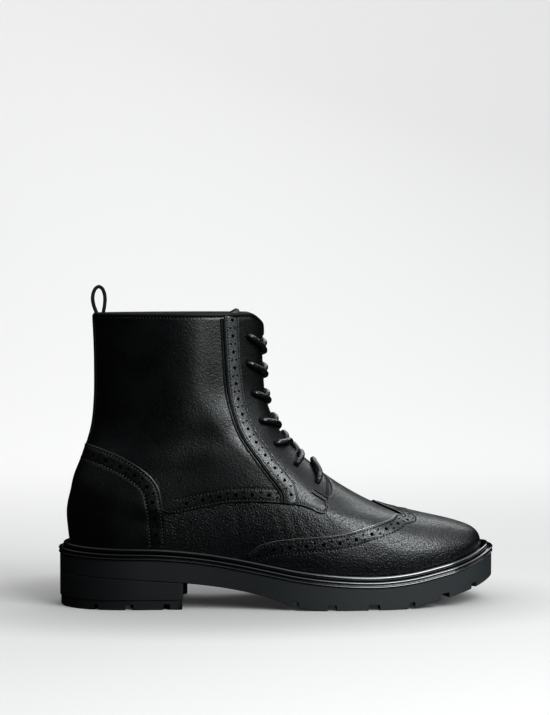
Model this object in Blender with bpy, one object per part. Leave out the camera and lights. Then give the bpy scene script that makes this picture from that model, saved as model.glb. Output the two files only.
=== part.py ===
"""A lace-up wingtip ankle boot for the right foot, standing empty on its cleated sole.

The toe points along +X, the outer side of the foot is -Y, and the floor is z = 0. All sizes are in metres.
The leather follows one surface: closed rings round the last, from the sole's rim up to the collar.
"""

import math

import bmesh
import bpy
import numpy as np
from mathutils import Matrix, Vector

# The last and the sole
LAST_LENGTH = 0.268
LAST_WIDTH = 0.0856
UPPER_HEIGHT = 0.149
SOLE_HEIGHT = 0.037
WELT_REACH = 0.0085
TOE_SWING = 0.005
MIDSOLE_THICK = 0.0034
OUTSOLE_INSET = 0.0008
LUG_HEIGHT = 0.0032
LUG_NOTCH_REACH = 0.016
HEEL_LIFT_HEIGHT = 0.006
HEEL_LIFT_INSET = 0.0007
WELT_BEAD = 0.0015
WELT_GAP = 0.0009  # between the bead and the pieces laid on the upper

# The leather
WALL = 0.0022
OVERLAY = 0.0011
QUARTER_STEP = 0.0011
INSOLE_THICK = 0.003
TONGUE_THICK = 0.0028
TONGUE_DROP = 0.0042
TONGUE_RISE = 0.002
THROAT_GAP = 0.013
EYELET_DIAMETER = 0.0042

# The lace and the loop
LACE_DIAMETER = 0.0037
LOOP_STRAP_WIDTH = 0.010
LOOP_STRAP_THICK = 0.0030
LOOP_HEIGHT = 0.019
LOOP_OUTER = 0.0115
LOOP_LEAN = 0.001  # how far the limb inside the collar leans in
LOOP_FOOT_TURN = 0.0034  # how far the foot outside turns in over the collar
LOOP_WAIST = 0.55  # where that foot starts to turn, as a share of LOOP_OUTER
STAY_WIDTH = 0.010
STAY_END = 0.016  # how far it stops short at both ends, as a share of the height

CLEARANCE = 0.0003
SEAT = 0.0006  # clear height under a leather piece laid on another

LATERAL = -1
MEDIAL = 1
SIDE_NAMES = {LATERAL: "outer", MEDIAL: "inner"}

# One row for each ring of the last, from the sole to above the collar.
# rise: height up the back seam, and front_rise: height at the front, as shares of UPPER_HEIGHT.
# back_x and front_x: where the ring starts and ends, as shares of LAST_LENGTH.
# hold: how closely the ring follows the sole's curved rim.
# back_cap, front_cap: lengths of the rounded ends, as shares of LAST_LENGTH, each with its power.
RING_END_COLUMNS = (
    "rise", "back_x", "front_x", "front_rise", "hold",
    "back_cap", "back_power", "front_cap", "front_power",
)
RING_ENDS = (
    (0.000, 0.009, 0.997, 0.000, 1.00, 0.160, 2.35, 0.290, 2.30),
    (0.067, 0.004, 0.988, 0.073, 0.97, 0.172, 2.30, 0.290, 2.30),
    (0.161, 0.001, 0.941, 0.144, 0.88, 0.182, 2.30, 0.270, 2.20),
    (0.268, 0.015, 0.850, 0.202, 0.70, 0.190, 2.25, 0.240, 2.10),
    (0.396, 0.042, 0.740, 0.247, 0.45, 0.200, 2.20, 0.212, 2.05),
    (0.517, 0.062, 0.630, 0.334, 0.20, 0.209, 2.10, 0.196, 2.00),
    (0.638, 0.069, 0.532, 0.465, 0.05, 0.216, 2.05, 0.187, 2.00),
    (0.755, 0.070, 0.479, 0.634, 0.00, 0.216, 2.05, 0.187, 2.00),
    (0.872, 0.069, 0.467, 0.815, 0.00, 0.216, 2.05, 0.187, 2.00),
    (1.000, 0.066, 0.465, 1.033, 0.00, 0.213, 2.05, 0.192, 2.00),
    (1.080, 0.065, 0.465, 1.123, 0.00, 0.213, 2.05, 0.194, 2.00),
)
# The same rings' widths on each side of the centre line at the stations below, as shares of LAST_WIDTH.
RING_WIDTH_COLUMNS = (
    "outer_heel", "outer_waist", "outer_ball", "outer_toe",
    "inner_heel", "inner_waist", "inner_ball", "inner_toe",
)
RING_WIDTHS = (
    (0.347, 0.352, 0.486, 0.466, 0.347, 0.295, 0.500, 0.477),
    (0.367, 0.369, 0.504, 0.483, 0.367, 0.324, 0.518, 0.494),
    (0.380, 0.381, 0.500, 0.472, 0.380, 0.347, 0.512, 0.483),
    (0.375, 0.381, 0.472, 0.443, 0.375, 0.358, 0.483, 0.455),
    (0.364, 0.381, 0.415, 0.409, 0.364, 0.369, 0.426, 0.420),
    (0.352, 0.381, 0.358, 0.358, 0.352, 0.375, 0.364, 0.364),
    (0.347, 0.375, 0.330, 0.330, 0.347, 0.375, 0.330, 0.330),
    (0.352, 0.375, 0.318, 0.318, 0.352, 0.375, 0.318, 0.318),
    (0.362, 0.380, 0.318, 0.318, 0.362, 0.380, 0.318, 0.318),
    (0.372, 0.386, 0.318, 0.318, 0.372, 0.386, 0.318, 0.318),
    (0.376, 0.390, 0.318, 0.318, 0.376, 0.390, 0.318, 0.318),
)
STATIONS = {LATERAL: (0.134, 0.332, 0.604, 0.873), MEDIAL: (0.134, 0.381, 0.705, 0.892)}
WIDTH_NAMES = {
    LATERAL: ("outer_heel", "outer_waist", "outer_ball", "outer_toe"),
    MEDIAL: ("inner_heel", "inner_waist", "inner_ball", "inner_toe"),
}

# The sole seen from the side: along as a share of LAST_LENGTH, rim and underside as shares of SOLE_HEIGHT.
SOLE_LINE = {
    "along": (
        -0.026, 0.108, 0.220, 0.295, 0.399, 0.474, 0.537, 0.604,
        0.668, 0.743, 0.817, 0.873, 0.944, 0.985, 1.026,
    ),
    "rim": (
        1.000, 0.960, 0.940, 0.892, 0.778, 0.676, 0.589, 0.527,
        0.490, 0.482, 0.532, 0.608, 0.727, 0.832, 0.954,
    ),
    "under": (
        0.581, 0.540, 0.486, 0.440, 0.338, 0.216, 0.060, 0.000,
        0.000, 0.000, 0.032, 0.120, 0.243, 0.335, 0.446,
    ),
}

# Side notches between the lugs, as shares of LAST_LENGTH: where each starts, and how long it is.
HEEL_NOTCHES = ((0.060, 0.011), (0.136, 0.019), (0.226, 0.015))
FOREFOOT_NOTCHES = (
    (0.527, 0.014), (0.608, 0.022), (0.705, 0.027), (0.802, 0.015), (0.880, 0.022), (0.960, 0.012),
)

# The heel's hollowed front face from the outer to the inner edge: along as a share of LAST_LENGTH,
# and across as a share of half the heel's width.
BREAST = ((0.272, -0.72), (0.250, -0.25), (0.250, 0.25), (0.300, 0.72))

# Edges of the leather pieces seen from the outer side: (along, up), as shares of LAST_LENGTH and
# UPPER_HEIGHT, with up measured from the sole's rim at the heel.
COUNTER_BACK = 0.443
COUNTER_EDGE = (
    (0.095, 0.420), (0.136, 0.389), (0.174, 0.349), (0.200, 0.309), (0.215, 0.268),
    (0.222, 0.212), (0.226, 0.159), (0.229, 0.107), (0.231, 0.054), (0.233, 0.005),
)
STRIP_REAR = (
    (0.368, 0.985), (0.371, 0.899), (0.375, 0.772), (0.379, 0.678), (0.388, 0.597), (0.402, 0.523),
    (0.424, 0.447), (0.452, 0.379), (0.479, 0.315), (0.493, 0.284), (0.507, 0.248), (0.512, 0.200),
)
STRIP_FRONT = (
    (0.402, 0.985), (0.403, 0.899), (0.407, 0.772), (0.411, 0.698), (0.418, 0.620), (0.430, 0.548),
    (0.449, 0.480), (0.470, 0.427), (0.493, 0.368), (0.516, 0.322), (0.531, 0.285), (0.539, 0.250),
    (0.541, 0.200),
)
QUARTER_LOW = (
    (0.243, 0.152), (0.286, 0.168), (0.331, 0.184), (0.376, 0.199), (0.421, 0.203),
    (0.466, 0.202), (0.512, 0.195), (0.550, 0.187), (0.575, 0.172), (0.597, 0.155), (0.607, 0.157),
)
TAB_FRONT = ((0.607, 0.157), (0.613, 0.198), (0.618, 0.242), (0.620, 0.280))
# The rounded front corner of the collar.
COLLAR_CORNER = ((0.402, 1.010), (0.437, 1.000), (0.453, 0.981), (0.463, 0.960), (0.469, 0.920))
WING_EDGE = (
    (0.424, -0.017), (0.445, 0.013), (0.482, 0.038), (0.526, 0.049), (0.588, 0.058), (0.645, 0.068),
    (0.712, 0.097), (0.766, 0.118), (0.788, 0.130),
)
# Its middle seen from above: (along, across), as shares of LAST_LENGTH and LAST_WIDTH.
WING_CREST = ((0.796, -0.235), (0.784, -0.115), (0.757, -0.040))
WING_PEAK = 0.735
THROAT = 0.622
# The tongue: half its width at its foot and at its top as shares of the ring, and the level of its
# dip in front.
TONGUE_HALF = (0.060, 0.105)
TONGUE_TOP = 0.955
# Each eyelet from the collar down, and where its lace crosses the facing's edge.
EYELETS = (
    (0.425, 0.906), (0.425, 0.789), (0.437, 0.661), (0.456, 0.540),
    (0.491, 0.440), (0.539, 0.352), (0.590, 0.277),
)
LACE_EDGES = (
    (0.473, 0.843), (0.478, 0.738), (0.481, 0.624), (0.505, 0.514),
    (0.545, 0.432), (0.588, 0.374), (0.616, 0.329),
)

COUNTER_MARGIN = 0.007  # the quarters end this share short of the counter
FOOT_LEVEL = 0.012  # where the laid-on pieces end above the welt, as a share of the height
SEAM_CROWDING = 0.45  # how much closer together the upper's columns stand at heel and toe
TOE_CROWDING = 0.38  # the same for the toe cap's columns
GRID_RINGS = 160
GRID_ROUND = 320


def smooth(places, values, at):
    """A cubic curve through the values given at these places."""
    places = np.asarray(places, float)
    values = np.asarray(values, float)
    slopes = np.gradient(values, places)
    first = np.clip(np.searchsorted(places, at) - 1, 0, len(places) - 2)
    span = places[first + 1] - places[first]
    s = (np.clip(at, places[0], places[-1]) - places[first]) / span
    return (
        (2 * s**3 - 3 * s**2 + 1) * values[first]
        + (s**3 - 2 * s**2 + s) * span * slopes[first]
        + (3 * s**2 - 2 * s**3) * values[first + 1]
        + (s**3 - s**2) * span * slopes[first + 1]
    )


def along(share):
    """The x of a share of the last, measured from its heel end."""
    return (np.asarray(share) - 0.5) * LAST_LENGTH


def sole_line(name, x):
    height = smooth(SOLE_LINE["along"], SOLE_LINE[name], x / LAST_LENGTH + 0.5) * SOLE_HEIGHT
    return np.maximum(height, 0.0)


def rounded_end(distance, length, power):
    """Rises from 0 at a ring's end to 1 where its rounded end is over."""
    left = np.clip(1 - distance / length, 0, 1)
    return (1 - left**power) ** (1 / power)


def centre_line(x):
    """The last swings towards the big toe in front of the waist."""
    s = np.clip((x - along(0.45)) / (along(1.0) - along(0.45)), 0, 1)
    return TOE_SWING * s * s


RINGS = {name: [row[i] for row in RING_ENDS] for i, name in enumerate(RING_END_COLUMNS)}
RINGS |= {name: [row[i] for row in RING_WIDTHS] for i, name in enumerate(RING_WIDTH_COLUMNS)}


def ring(level, count):
    """One ring at this share of the height: count steps along the outer side, then count back inside."""
    row = {name: float(smooth(RINGS["rise"], values, level)) for name, values in RINGS.items()}
    back = along(row["back_x"])
    front = along(row["front_x"])
    share = (1 - np.cos(np.linspace(0, math.pi, 4 * count))) / 2
    x = back + (front - back) * share
    ends = rounded_end(x - back, row["back_cap"] * LAST_LENGTH, row["back_power"])
    ends = ends * rounded_end(front - x, row["front_cap"] * LAST_LENGTH, row["front_power"])
    straight = (1 - share) * sole_line("rim", along(0.0)) + share * sole_line("rim", along(1.0))
    rise = (1 - share) * level + share * row["front_rise"]
    z = sole_line("rim", x) * row["hold"] + straight * (1 - row["hold"]) + rise * UPPER_HEIGHT + CLEARANCE
    halves = []
    for side in (LATERAL, MEDIAL):
        width = smooth(along(STATIONS[side]), [row[name] for name in WIDTH_NAMES[side]], x)
        points = np.stack([x, centre_line(x) + side * width * ends * LAST_WIDTH, z], axis=1)
        length = np.concatenate([[0], np.cumsum(np.linalg.norm(np.diff(points, axis=0), axis=1))])
        even = np.linspace(0, length[-1], count + 1)
        halves.append(np.stack([np.interp(even, length, points[:, i]) for i in range(3)], axis=1))
    return np.concatenate([halves[0], halves[1][-2::-1]])


TOP_LEVEL = RINGS["rise"][-1]
GRID = np.array([ring(level, GRID_ROUND // 2) for level in np.linspace(0, TOP_LEVEL, GRID_RINGS)])


def grid_normals():
    around = np.roll(GRID[:, :-1], -1, axis=1) - np.roll(GRID[:, :-1], 1, axis=1)
    up = np.gradient(GRID[:, :-1], axis=0)
    normals = np.cross(around, up)
    normals /= np.linalg.norm(normals, axis=2, keepdims=True)
    return np.concatenate([normals, normals[:, :1]], axis=1)


NORMALS = grid_normals()


def read_grid(grid, u, v):
    """The grid's value at u round the ring (0 and 1 at the back seam, 0.5 in front) and v up the last."""
    i = (np.asarray(u, float) % 1.0) * GRID_ROUND
    j = np.clip(np.asarray(v, float) / TOP_LEVEL, 0, 1) * (GRID_RINGS - 1)
    i0 = np.minimum(i.astype(int), GRID_ROUND - 1)
    j0 = np.minimum(j.astype(int), GRID_RINGS - 2)
    s = (i - i0)[..., None]
    t = (j - j0)[..., None]
    low = grid[j0, i0] * (1 - s) + grid[j0, i0 + 1] * s
    high = grid[j0 + 1, i0] * (1 - s) + grid[j0 + 1, i0 + 1] * s
    return low * (1 - t) + high * t


def surface(u, v, lift=0.0):
    """Points of the last's surface, moved out by lift."""
    return read_grid(GRID, u, v) + read_grid(NORMALS, u, v) * lift


def seen_at(place):
    """The x and z of a place given as shares in the view from the outer side."""
    return along(place[0]), SOLE_HEIGHT + place[1] * UPPER_HEIGHT


def side_view(points):
    return points[..., ::2]


def top_view(points):
    return points[..., :2]


def point_seen(target, view):
    """The u and v on the outer side that this view shows nearest to target."""
    half = GRID[:, : GRID_ROUND // 2 + 1]
    gap = ((view(half) - target) ** 2).sum(axis=2)
    if view is top_view:
        gap = np.where(NORMALS[:, : GRID_ROUND // 2 + 1, 2] > 0, gap, np.inf)
    j, i = np.unravel_index(np.argmin(gap), gap.shape)
    u = i / GRID_ROUND
    v = j / (GRID_RINGS - 1) * TOP_LEVEL
    step = 0.002
    for _ in range(4):
        here, right, above = view(surface(np.array([u, u + step, u]), np.array([v, v, v + step])))
        slopes = np.stack([right - here, above - here], axis=1) / step
        if abs(np.linalg.det(slopes)) < 1e-4:
            break
        move = np.linalg.solve(slopes, np.array(target) - here)
        u = float(np.clip(u + np.clip(move[0], -0.01, 0.01), 0, 0.5))
        v = float(np.clip(v + np.clip(move[1], -0.02, 0.02), 0, TOP_LEVEL))
    return u, v


def on_last(place):
    """The u and v of a place given as shares in the view from the outer side."""
    return point_seen(seen_at(place), side_view)


def from_above(place):
    """The u and v of a place given as shares of the length and the width in the view from above."""
    return point_seen((along(place[0]), place[1] * LAST_WIDTH), top_view)


def edge(places, count, start=None, end=()):
    """A smooth line of (u, v) through places in the outer view, with count + 1 points."""
    points = [start] if start else []
    points += [on_last(place) for place in places]
    points = np.array([*points, *end])
    steps = np.linalg.norm(np.diff(surface(points[:, 0], points[:, 1]), axis=0), axis=1)
    length = np.concatenate([[0], np.cumsum(steps)])
    even = np.linspace(0, length[-1], count + 1)
    return np.stack([smooth(length, points[:, 0], even), smooth(length, points[:, 1], even)], axis=1)


def front_level(share):
    """The level whose ring ends in front at this share of the last."""
    return float(np.interp(-share, [-x for x in RINGS["front_x"][:-1]], RINGS["rise"][:-1]))


def other_side(lines):
    """The same line on the inner side."""
    return np.stack([1 - lines[..., 0], lines[..., 1]], axis=-1)


COLLECTION = "brogue_boot"
CUTTERS = "cutters"


def clear_scene():
    for item in list(bpy.data.objects):
        bpy.data.objects.remove(item, do_unlink=True)
    for name in (COLLECTION, CUTTERS):
        bpy.context.scene.collection.children.link(bpy.data.collections.new(name))


def material(name, colour, roughness):
    found = bpy.data.materials.get(name)
    if found:
        return found
    made = bpy.data.materials.new(name)
    made.use_nodes = True
    shader = made.node_tree.nodes["Principled BSDF"]
    shader.inputs["Base Color"].default_value = (*colour, 1.0)
    shader.inputs["Roughness"].default_value = roughness
    shader.inputs["Metallic"].default_value = 0.0
    return made


def leather():
    return material("black_leather", (0.012, 0.013, 0.014), 0.38)


def rubber():
    return material("black_rubber", (0.022, 0.024, 0.025), 0.62)


def lining():
    return material("dark_lining", (0.030, 0.028, 0.026), 0.80)


def waxed_cord():
    return material("waxed_cord", (0.008, 0.008, 0.009), 0.50)


def webbing():
    return material("black_webbing", (0.014, 0.014, 0.015), 0.70)


def add_object(name, mesh, finish, collection=COLLECTION):
    made = bpy.data.objects.new(name, mesh)
    bpy.data.collections[collection].objects.link(made)
    if finish:
        mesh.materials.clear()
        mesh.materials.append(finish)
    if collection == CUTTERS:
        made.hide_render = True
        made.display_type = "WIRE"
    return made


def closed_mesh(name, points, faces):
    """A mesh of these faces, with doubled points welded and every face turned outwards."""
    mesh = bpy.data.meshes.new(name)
    mesh.from_pydata([tuple(map(float, point)) for point in points], [], faces)
    work = bmesh.new()
    work.from_mesh(mesh)
    bmesh.ops.remove_doubles(work, verts=work.verts, dist=1e-5)
    bmesh.ops.dissolve_degenerate(work, dist=1e-6, edges=work.edges)
    bmesh.ops.recalc_face_normals(work, faces=work.faces)
    if work.calc_volume(signed=True) < 0:
        bmesh.ops.reverse_faces(work, faces=work.faces)
    work.to_mesh(mesh)
    work.free()
    mesh.shade_smooth()
    mesh.set_sharp_from_angle(angle=math.radians(35))
    return mesh


def shell(name, outer, inner, finish, wrap=False, collection=COLLECTION):
    """A solid between two grids of points that match row by row. With wrap its columns close into a ring."""
    rows, columns = outer.shape[:2]
    points = np.concatenate([outer.reshape(-1, 3), inner.reshape(-1, 3)])
    inside = rows * columns

    def at(row, column):
        return row * columns + column % columns

    faces = []
    for row in range(rows - 1):
        for column in range(columns if wrap else columns - 1):
            corners = (at(row, column), at(row, column + 1), at(row + 1, column + 1), at(row + 1, column))
            faces.append(corners)
            faces.append(tuple(inside + corner for corner in reversed(corners)))
    for column in range(columns if wrap else columns - 1):
        for row in (0, rows - 1):
            a = at(row, column)
            b = at(row, column + 1)
            faces.append((a, b, inside + b, inside + a))
    if not wrap:
        for row in range(rows - 1):
            for column in (0, columns - 1):
                a = at(row, column)
                b = at(row + 1, column)
                faces.append((a, b, inside + b, inside + a))
    return add_object(name, closed_mesh(name, points, faces), finish, collection)


def bridge(name, loops, finish, collection=COLLECTION):
    """A solid through loops of points that match one by one, with flat ends."""
    size = len(loops[0])
    faces = [tuple(range(size)), tuple((len(loops) - 1) * size + i for i in range(size))]
    for k in range(len(loops) - 1):
        for i in range(size):
            j = (i + 1) % size
            faces.append((k * size + i, k * size + j, (k + 1) * size + j, (k + 1) * size + i))
    return add_object(name, closed_mesh(name, np.concatenate(loops), faces), finish, collection)


def cut(target, cutter, operation="DIFFERENCE"):
    modifier = target.modifiers.new(cutter.name, "BOOLEAN")
    modifier.operation = operation
    modifier.solver = "EXACT"
    modifier.object = cutter
    return target


def patch(first, second, rows, left=None, right=None):
    """A grid of (u, v) between two lines on the last, and between two more at its sides if given."""
    t = np.linspace(0, 1, rows + 1)[:, None, None]
    grid = first[None] * (1 - t) + second[None] * t
    s = np.linspace(0, 1, len(first))[None, :, None]
    if left is not None:
        grid = grid + (1 - s) * (left[:, None] - grid[:, :1])
    if right is not None:
        grid = grid + s * (right[:, None] - grid[:, -1:])
    return grid


def girth(v):
    """The length of the ring at this level."""
    return np.linalg.norm(np.diff(surface(np.linspace(0, 1, 81), np.full(81, v)), axis=0), axis=1).sum()


def resampled(line, count):
    """The same line of (u, v) with count + 1 points evenly spaced on the last."""
    steps = np.linalg.norm(np.diff(surface(line[:, 0], line[:, 1]), axis=0), axis=1)
    length = np.concatenate([[0], np.cumsum(steps)])
    even = np.linspace(0, length[-1], count + 1)
    return np.stack([np.interp(even, length, line[:, i]) for i in range(2)], axis=1)


def mirrored(line):
    """A line that ends on the front or back seam, carried on over to the other side."""
    across = np.stack([2 * line[-1, 0] - line[:-1, 0], line[:-1, 1]], axis=1)
    return np.concatenate([line, across[::-1]])


def overlay(name, grid, base, thick, finish):
    """A leather piece lying on the last, base above it and this thick."""
    outer = surface(grid[..., 0], grid[..., 1], base + thick)
    inner = surface(grid[..., 0], grid[..., 1], base)
    return shell(name, outer, inner, finish)


def outline(reach, count=200):
    """The last's lowest ring moved out by reach, as (x, y) for each side from heel to toe."""
    base = ring(0.0, count)[:, :2]
    ahead = np.roll(base[:-1], -1, axis=0) - np.roll(base[:-1], 1, axis=0)
    out = np.stack([ahead[:, 1], -ahead[:, 0]], axis=1)
    out /= np.linalg.norm(out, axis=1, keepdims=True)
    moved = base[:-1] + out * reach
    moved = np.concatenate([moved, moved[:1]])
    return {LATERAL: moved[: count + 1], MEDIAL: moved[count:][::-1]}


def stations(reach, count, start=None, end=None):
    """Rows of (x, outer y, inner y) along the outline, closer together at its round ends."""
    sides = outline(reach)
    back = sides[LATERAL][0, 0] if start is None else start
    front = sides[LATERAL][-1, 0] if end is None else end
    angle = np.linspace(0.07 if start is None else 0.0, math.pi - (0.07 if end is None else 0.0), count)
    x = back + (front - back) * (1 - np.cos(angle)) / 2
    outer = np.interp(x, sides[LATERAL][:, 0], sides[LATERAL][:, 1])
    inner = np.interp(x, sides[MEDIAL][:, 0], sides[MEDIAL][:, 1])
    return np.stack([x, outer, inner], axis=1)


def slab(name, reach, low, high, count, finish):
    """A flat-sided layer of the sole between two heights that change along it."""
    loops = []
    for x, outer, inner in stations(reach, count):
        bottom = low(x)
        top = high(x)
        loops.append(np.array([(x, outer, bottom), (x, outer, top), (x, inner, top), (x, inner, bottom)]))
    return bridge(name, loops, finish)


def box(name, low, high, collection=CUTTERS):
    """An upright box between two corners."""
    low = np.array(low, float)
    high = np.array(high, float)
    work = bmesh.new()
    bmesh.ops.create_cube(work, size=1)
    for corner in work.verts:
        corner.co = tuple((low + high) / 2 + np.array(corner.co) * (high - low))
    mesh = bpy.data.meshes.new(name)
    work.to_mesh(mesh)
    work.free()
    return add_object(name, mesh, None, collection)


def prism(name, outline_xz, half_width, collection=CUTTERS):
    """A solid with this outline in the side view, reaching half_width to both sides."""
    loops = [np.array([(x, side * half_width, z) for x, z in outline_xz]) for side in (LATERAL, MEDIAL)]
    return bridge(name, loops, None, collection)


def joined(name, objects, finish):
    """One solid from overlapping ones."""
    first = objects[0]
    for other in objects[1:]:
        cut(first, other, "UNION")
    bpy.context.view_layer.update()
    graph = bpy.context.evaluated_depsgraph_get()
    mesh = bpy.data.meshes.new_from_object(first.evaluated_get(graph))
    mesh.transform(first.matrix_world)
    for item in objects:
        bpy.data.objects.remove(item, do_unlink=True)
    return add_object(name, mesh, finish)


def tube(name, points, diameter, collection=COLLECTION):
    """A round cord through these points, as a closed mesh."""
    curve = bpy.data.curves.new(name, "CURVE")
    curve.dimensions = "3D"
    curve.bevel_depth = diameter / 2
    curve.bevel_resolution = 1
    curve.use_fill_caps = True
    spline = curve.splines.new("POLY")
    spline.points.add(len(points) - 1)
    for target, point in zip(spline.points, points):
        target.co = (*map(float, point), 1.0)
    drawn = bpy.data.objects.new(name, curve)
    bpy.data.collections[collection].objects.link(drawn)
    bpy.context.view_layer.update()
    graph = bpy.context.evaluated_depsgraph_get()
    mesh = bpy.data.meshes.new_from_object(drawn.evaluated_get(graph))
    bpy.data.objects.remove(drawn, do_unlink=True)
    work = bmesh.new()
    work.from_mesh(mesh)
    bmesh.ops.remove_doubles(work, verts=work.verts, dist=1e-5)
    work.to_mesh(mesh)
    work.free()
    mesh.shade_smooth()
    mesh.set_sharp_from_angle(angle=math.radians(50))
    return add_object(name, mesh, None, collection)


def rim(x):
    return sole_line("rim", x)


def midsole_under(x):
    return rim(x) - MIDSOLE_THICK


def outsole_top(x):
    return midsole_under(x) - CLEARANCE


def outsole_under(x):
    return sole_line("under", x)


def heel_top(x):
    return outsole_under(x) - CLEARANCE


def notch_cutters(name, notches, reach, floor):
    """Boxes that cut the gaps between the lugs into both edges of a piece of the sole."""
    cutters = []
    for number, (start, length) in enumerate(notches):
        for side in (LATERAL, MEDIAL):
            x = along(start)
            x_end = along(start + length)
            middle = (x + x_end) / 2
            line = outline(reach)[side]
            edge_y = np.interp(middle, line[:, 0], line[:, 1])
            inside = edge_y - side * LUG_NOTCH_REACH
            outside = edge_y + side * LUG_NOTCH_REACH
            low = (x, min(inside, outside), floor(middle) - 3 * LUG_HEIGHT)
            high = (x_end, max(inside, outside), floor(middle) + LUG_HEIGHT)
            cutters.append(box(f"{name}_notch_{number}_{SIDE_NAMES[side]}", low, high))
    return cutters


def make_outsole():
    made = slab("outsole", WELT_REACH - OUTSOLE_INSET, outsole_under, outsole_top, 40, rubber())
    for cutter in notch_cutters("outsole", FOREFOOT_NOTCHES, WELT_REACH, outsole_under):
        cut(made, cutter)


def make_midsole():
    slab("midsole", WELT_REACH, midsole_under, rim, 40, rubber())


def make_heel():
    """The heel block, stepped in at its worn lift, with a hollowed front face."""
    front = along(BREAST[-1][0]) + WELT_REACH
    loops = []
    for x, outer, inner in stations(WELT_REACH - OUTSOLE_INSET, 22, end=front):
        narrow = HEEL_LIFT_INSET * np.sign(inner - outer)
        step = HEEL_LIFT_HEIGHT
        top = heel_top(x)
        wide = step + HEEL_LIFT_INSET
        loops.append(np.array([
            (x, outer + narrow, 0.0), (x, outer + narrow, step), (x, outer, wide), (x, outer, top),
            (x, inner, top), (x, inner, wide), (x, inner - narrow, step), (x, inner - narrow, 0.0),
        ]))
    made = bridge("heel", loops, rubber())
    half = LAST_WIDTH / 2 + WELT_REACH
    reach = front + LUG_NOTCH_REACH
    curve_y = np.linspace(-half, half, 13)
    curve_x = smooth([half * y for _, y in BREAST], [along(x) for x, _ in BREAST], curve_y)
    outline_xy = [*zip(curve_x, curve_y), (reach, half), (reach, -half)]
    loops = [np.array([(x, y, z) for x, y in outline_xy]) for z in (-LUG_HEIGHT, 2 * SOLE_HEIGHT)]
    cut(made, bridge("heel_breast", loops, None, CUTTERS))
    for cutter in notch_cutters("heel", HEEL_NOTCHES, WELT_REACH, lambda x: 0.0):
        cut(made, cutter)


def make_insole():
    def low(x):
        return rim(x) + CLEARANCE

    def high(x):
        return low(x) + INSOLE_THICK

    slab("insole", -(WALL + 3 * CLEARANCE), low, high, 30, lining())


def make_welt():
    """The bead of the welt, lying on the rim round the foot of the upper."""
    reach = SEAT + OVERLAY + WELT_GAP + WELT_BEAD
    sides = outline(reach, 29)
    loop = np.concatenate([sides[LATERAL], sides[MEDIAL][-2:0:-1]])
    points = [(x, y, rim(x) + CLEARANCE + WELT_BEAD) for x, y in loop]
    curve = bpy.data.curves.new("welt", "CURVE")
    curve.dimensions = "3D"
    curve.bevel_depth = WELT_BEAD
    curve.bevel_resolution = 1
    spline = curve.splines.new("POLY")
    spline.points.add(len(points) - 1)
    spline.use_cyclic_u = True
    for target, point in zip(spline.points, points):
        target.co = (*map(float, point), 1.0)
    made = bpy.data.objects.new("welt", curve)
    bpy.data.collections[COLLECTION].objects.link(made)
    curve.materials.append(rubber())


def upper_grids(columns, rows, top):
    """The upper's outside and inside. The lowest ring of the inside stays level with the outside's."""
    even = np.linspace(0, 1, columns, endpoint=False)
    u = even - SEAM_CROWDING * np.sin(4 * math.pi * even) / (4 * math.pi)
    v = top * np.linspace(0, 1, rows) ** 0.9
    uu, vv = np.meshgrid(u, v)
    outer = surface(uu, vv)
    inner = surface(uu, vv, -WALL)
    inner[:2, :, 2] = outer[:2, :, 2]
    return outer, inner


def throat_cutter():
    """The slot between the facings, from the vamp to above the collar."""
    levels = np.linspace(front_level(THROAT), TOP_LEVEL, 12)
    front = surface(np.full(12, 0.5), levels, 3 * WALL)[:, [0, 2]]
    inside = surface(np.full(12, 0.5), levels, -4 * WALL)[:, [0, 2]]
    return prism("throat", [*front, *inside[::-1]], THROAT_GAP / 2)


def collar_cutter():
    """Rounds the front corners of the collar."""
    corner = [seen_at(place) for place in COLLAR_CORNER]
    far = along(COLLAR_CORNER[-1][0]) + THROAT_GAP
    high = corner[0][1] + 4 * THROAT_GAP
    outline_xz = [*corner, (far, corner[-1][1]), (far, high), (corner[0][0], high)]
    return prism("collar_corner", outline_xz, LAST_WIDTH)


def quarter_grid():
    """The quarters as one piece round the back: they lie on the vamp, and the facings end in tabs."""
    above = [place for place in COUNTER_EDGE if place[1] > QUARTER_LOW[1][1]]
    past_counter = [(x + COUNTER_MARGIN, z + COUNTER_MARGIN) for x, z in above]
    low = edge([*past_counter, *QUARTER_LOW], 24, start=(0.0, COUNTER_BACK + COUNTER_MARGIN))
    bottom = mirrored(low[::-1])
    throat = front_level(THROAT)
    rise = np.linspace(throat + 0.01, 1.0, 9) + 0.003
    facing = np.array([(0.5 - (THROAT_GAP / 2 - CLEARANCE) / girth(v), v) for v in rise])
    tab = edge(TAB_FRONT, 4)
    left = np.concatenate([tab, facing])
    right = other_side(left)
    right[:, 0] -= 1.0
    share = np.linspace(left[-1, 0], 0.0, len(bottom) // 2 + 1)
    top = mirrored(np.stack([share, np.full(len(share), left[-1, 1])], axis=1))
    return patch(bottom, top, len(left) - 1, left, right)


def eyelet_cutter(number, side):
    u, v = on_last(EYELETS[number])
    u = u if side == LATERAL else 1 - u
    where = surface(np.array([u]), np.array([v]))[0]
    out = read_grid(NORMALS, np.array([u]), np.array([v]))[0]
    work = bmesh.new()
    size = EYELET_DIAMETER / 2
    bmesh.ops.create_cone(work, cap_ends=True, segments=6, radius1=size, radius2=size, depth=6 * WALL)
    mesh = bpy.data.meshes.new(f"eyelet_{number + 1}_{SIDE_NAMES[side]}")
    work.to_mesh(mesh)
    work.free()
    mesh.transform(Vector((0, 0, 1)).rotation_difference(Vector(out)).to_matrix().to_4x4())
    mesh.transform(Matrix.Translation(where))
    return add_object(mesh.name, mesh, None, CUTTERS)


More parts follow.
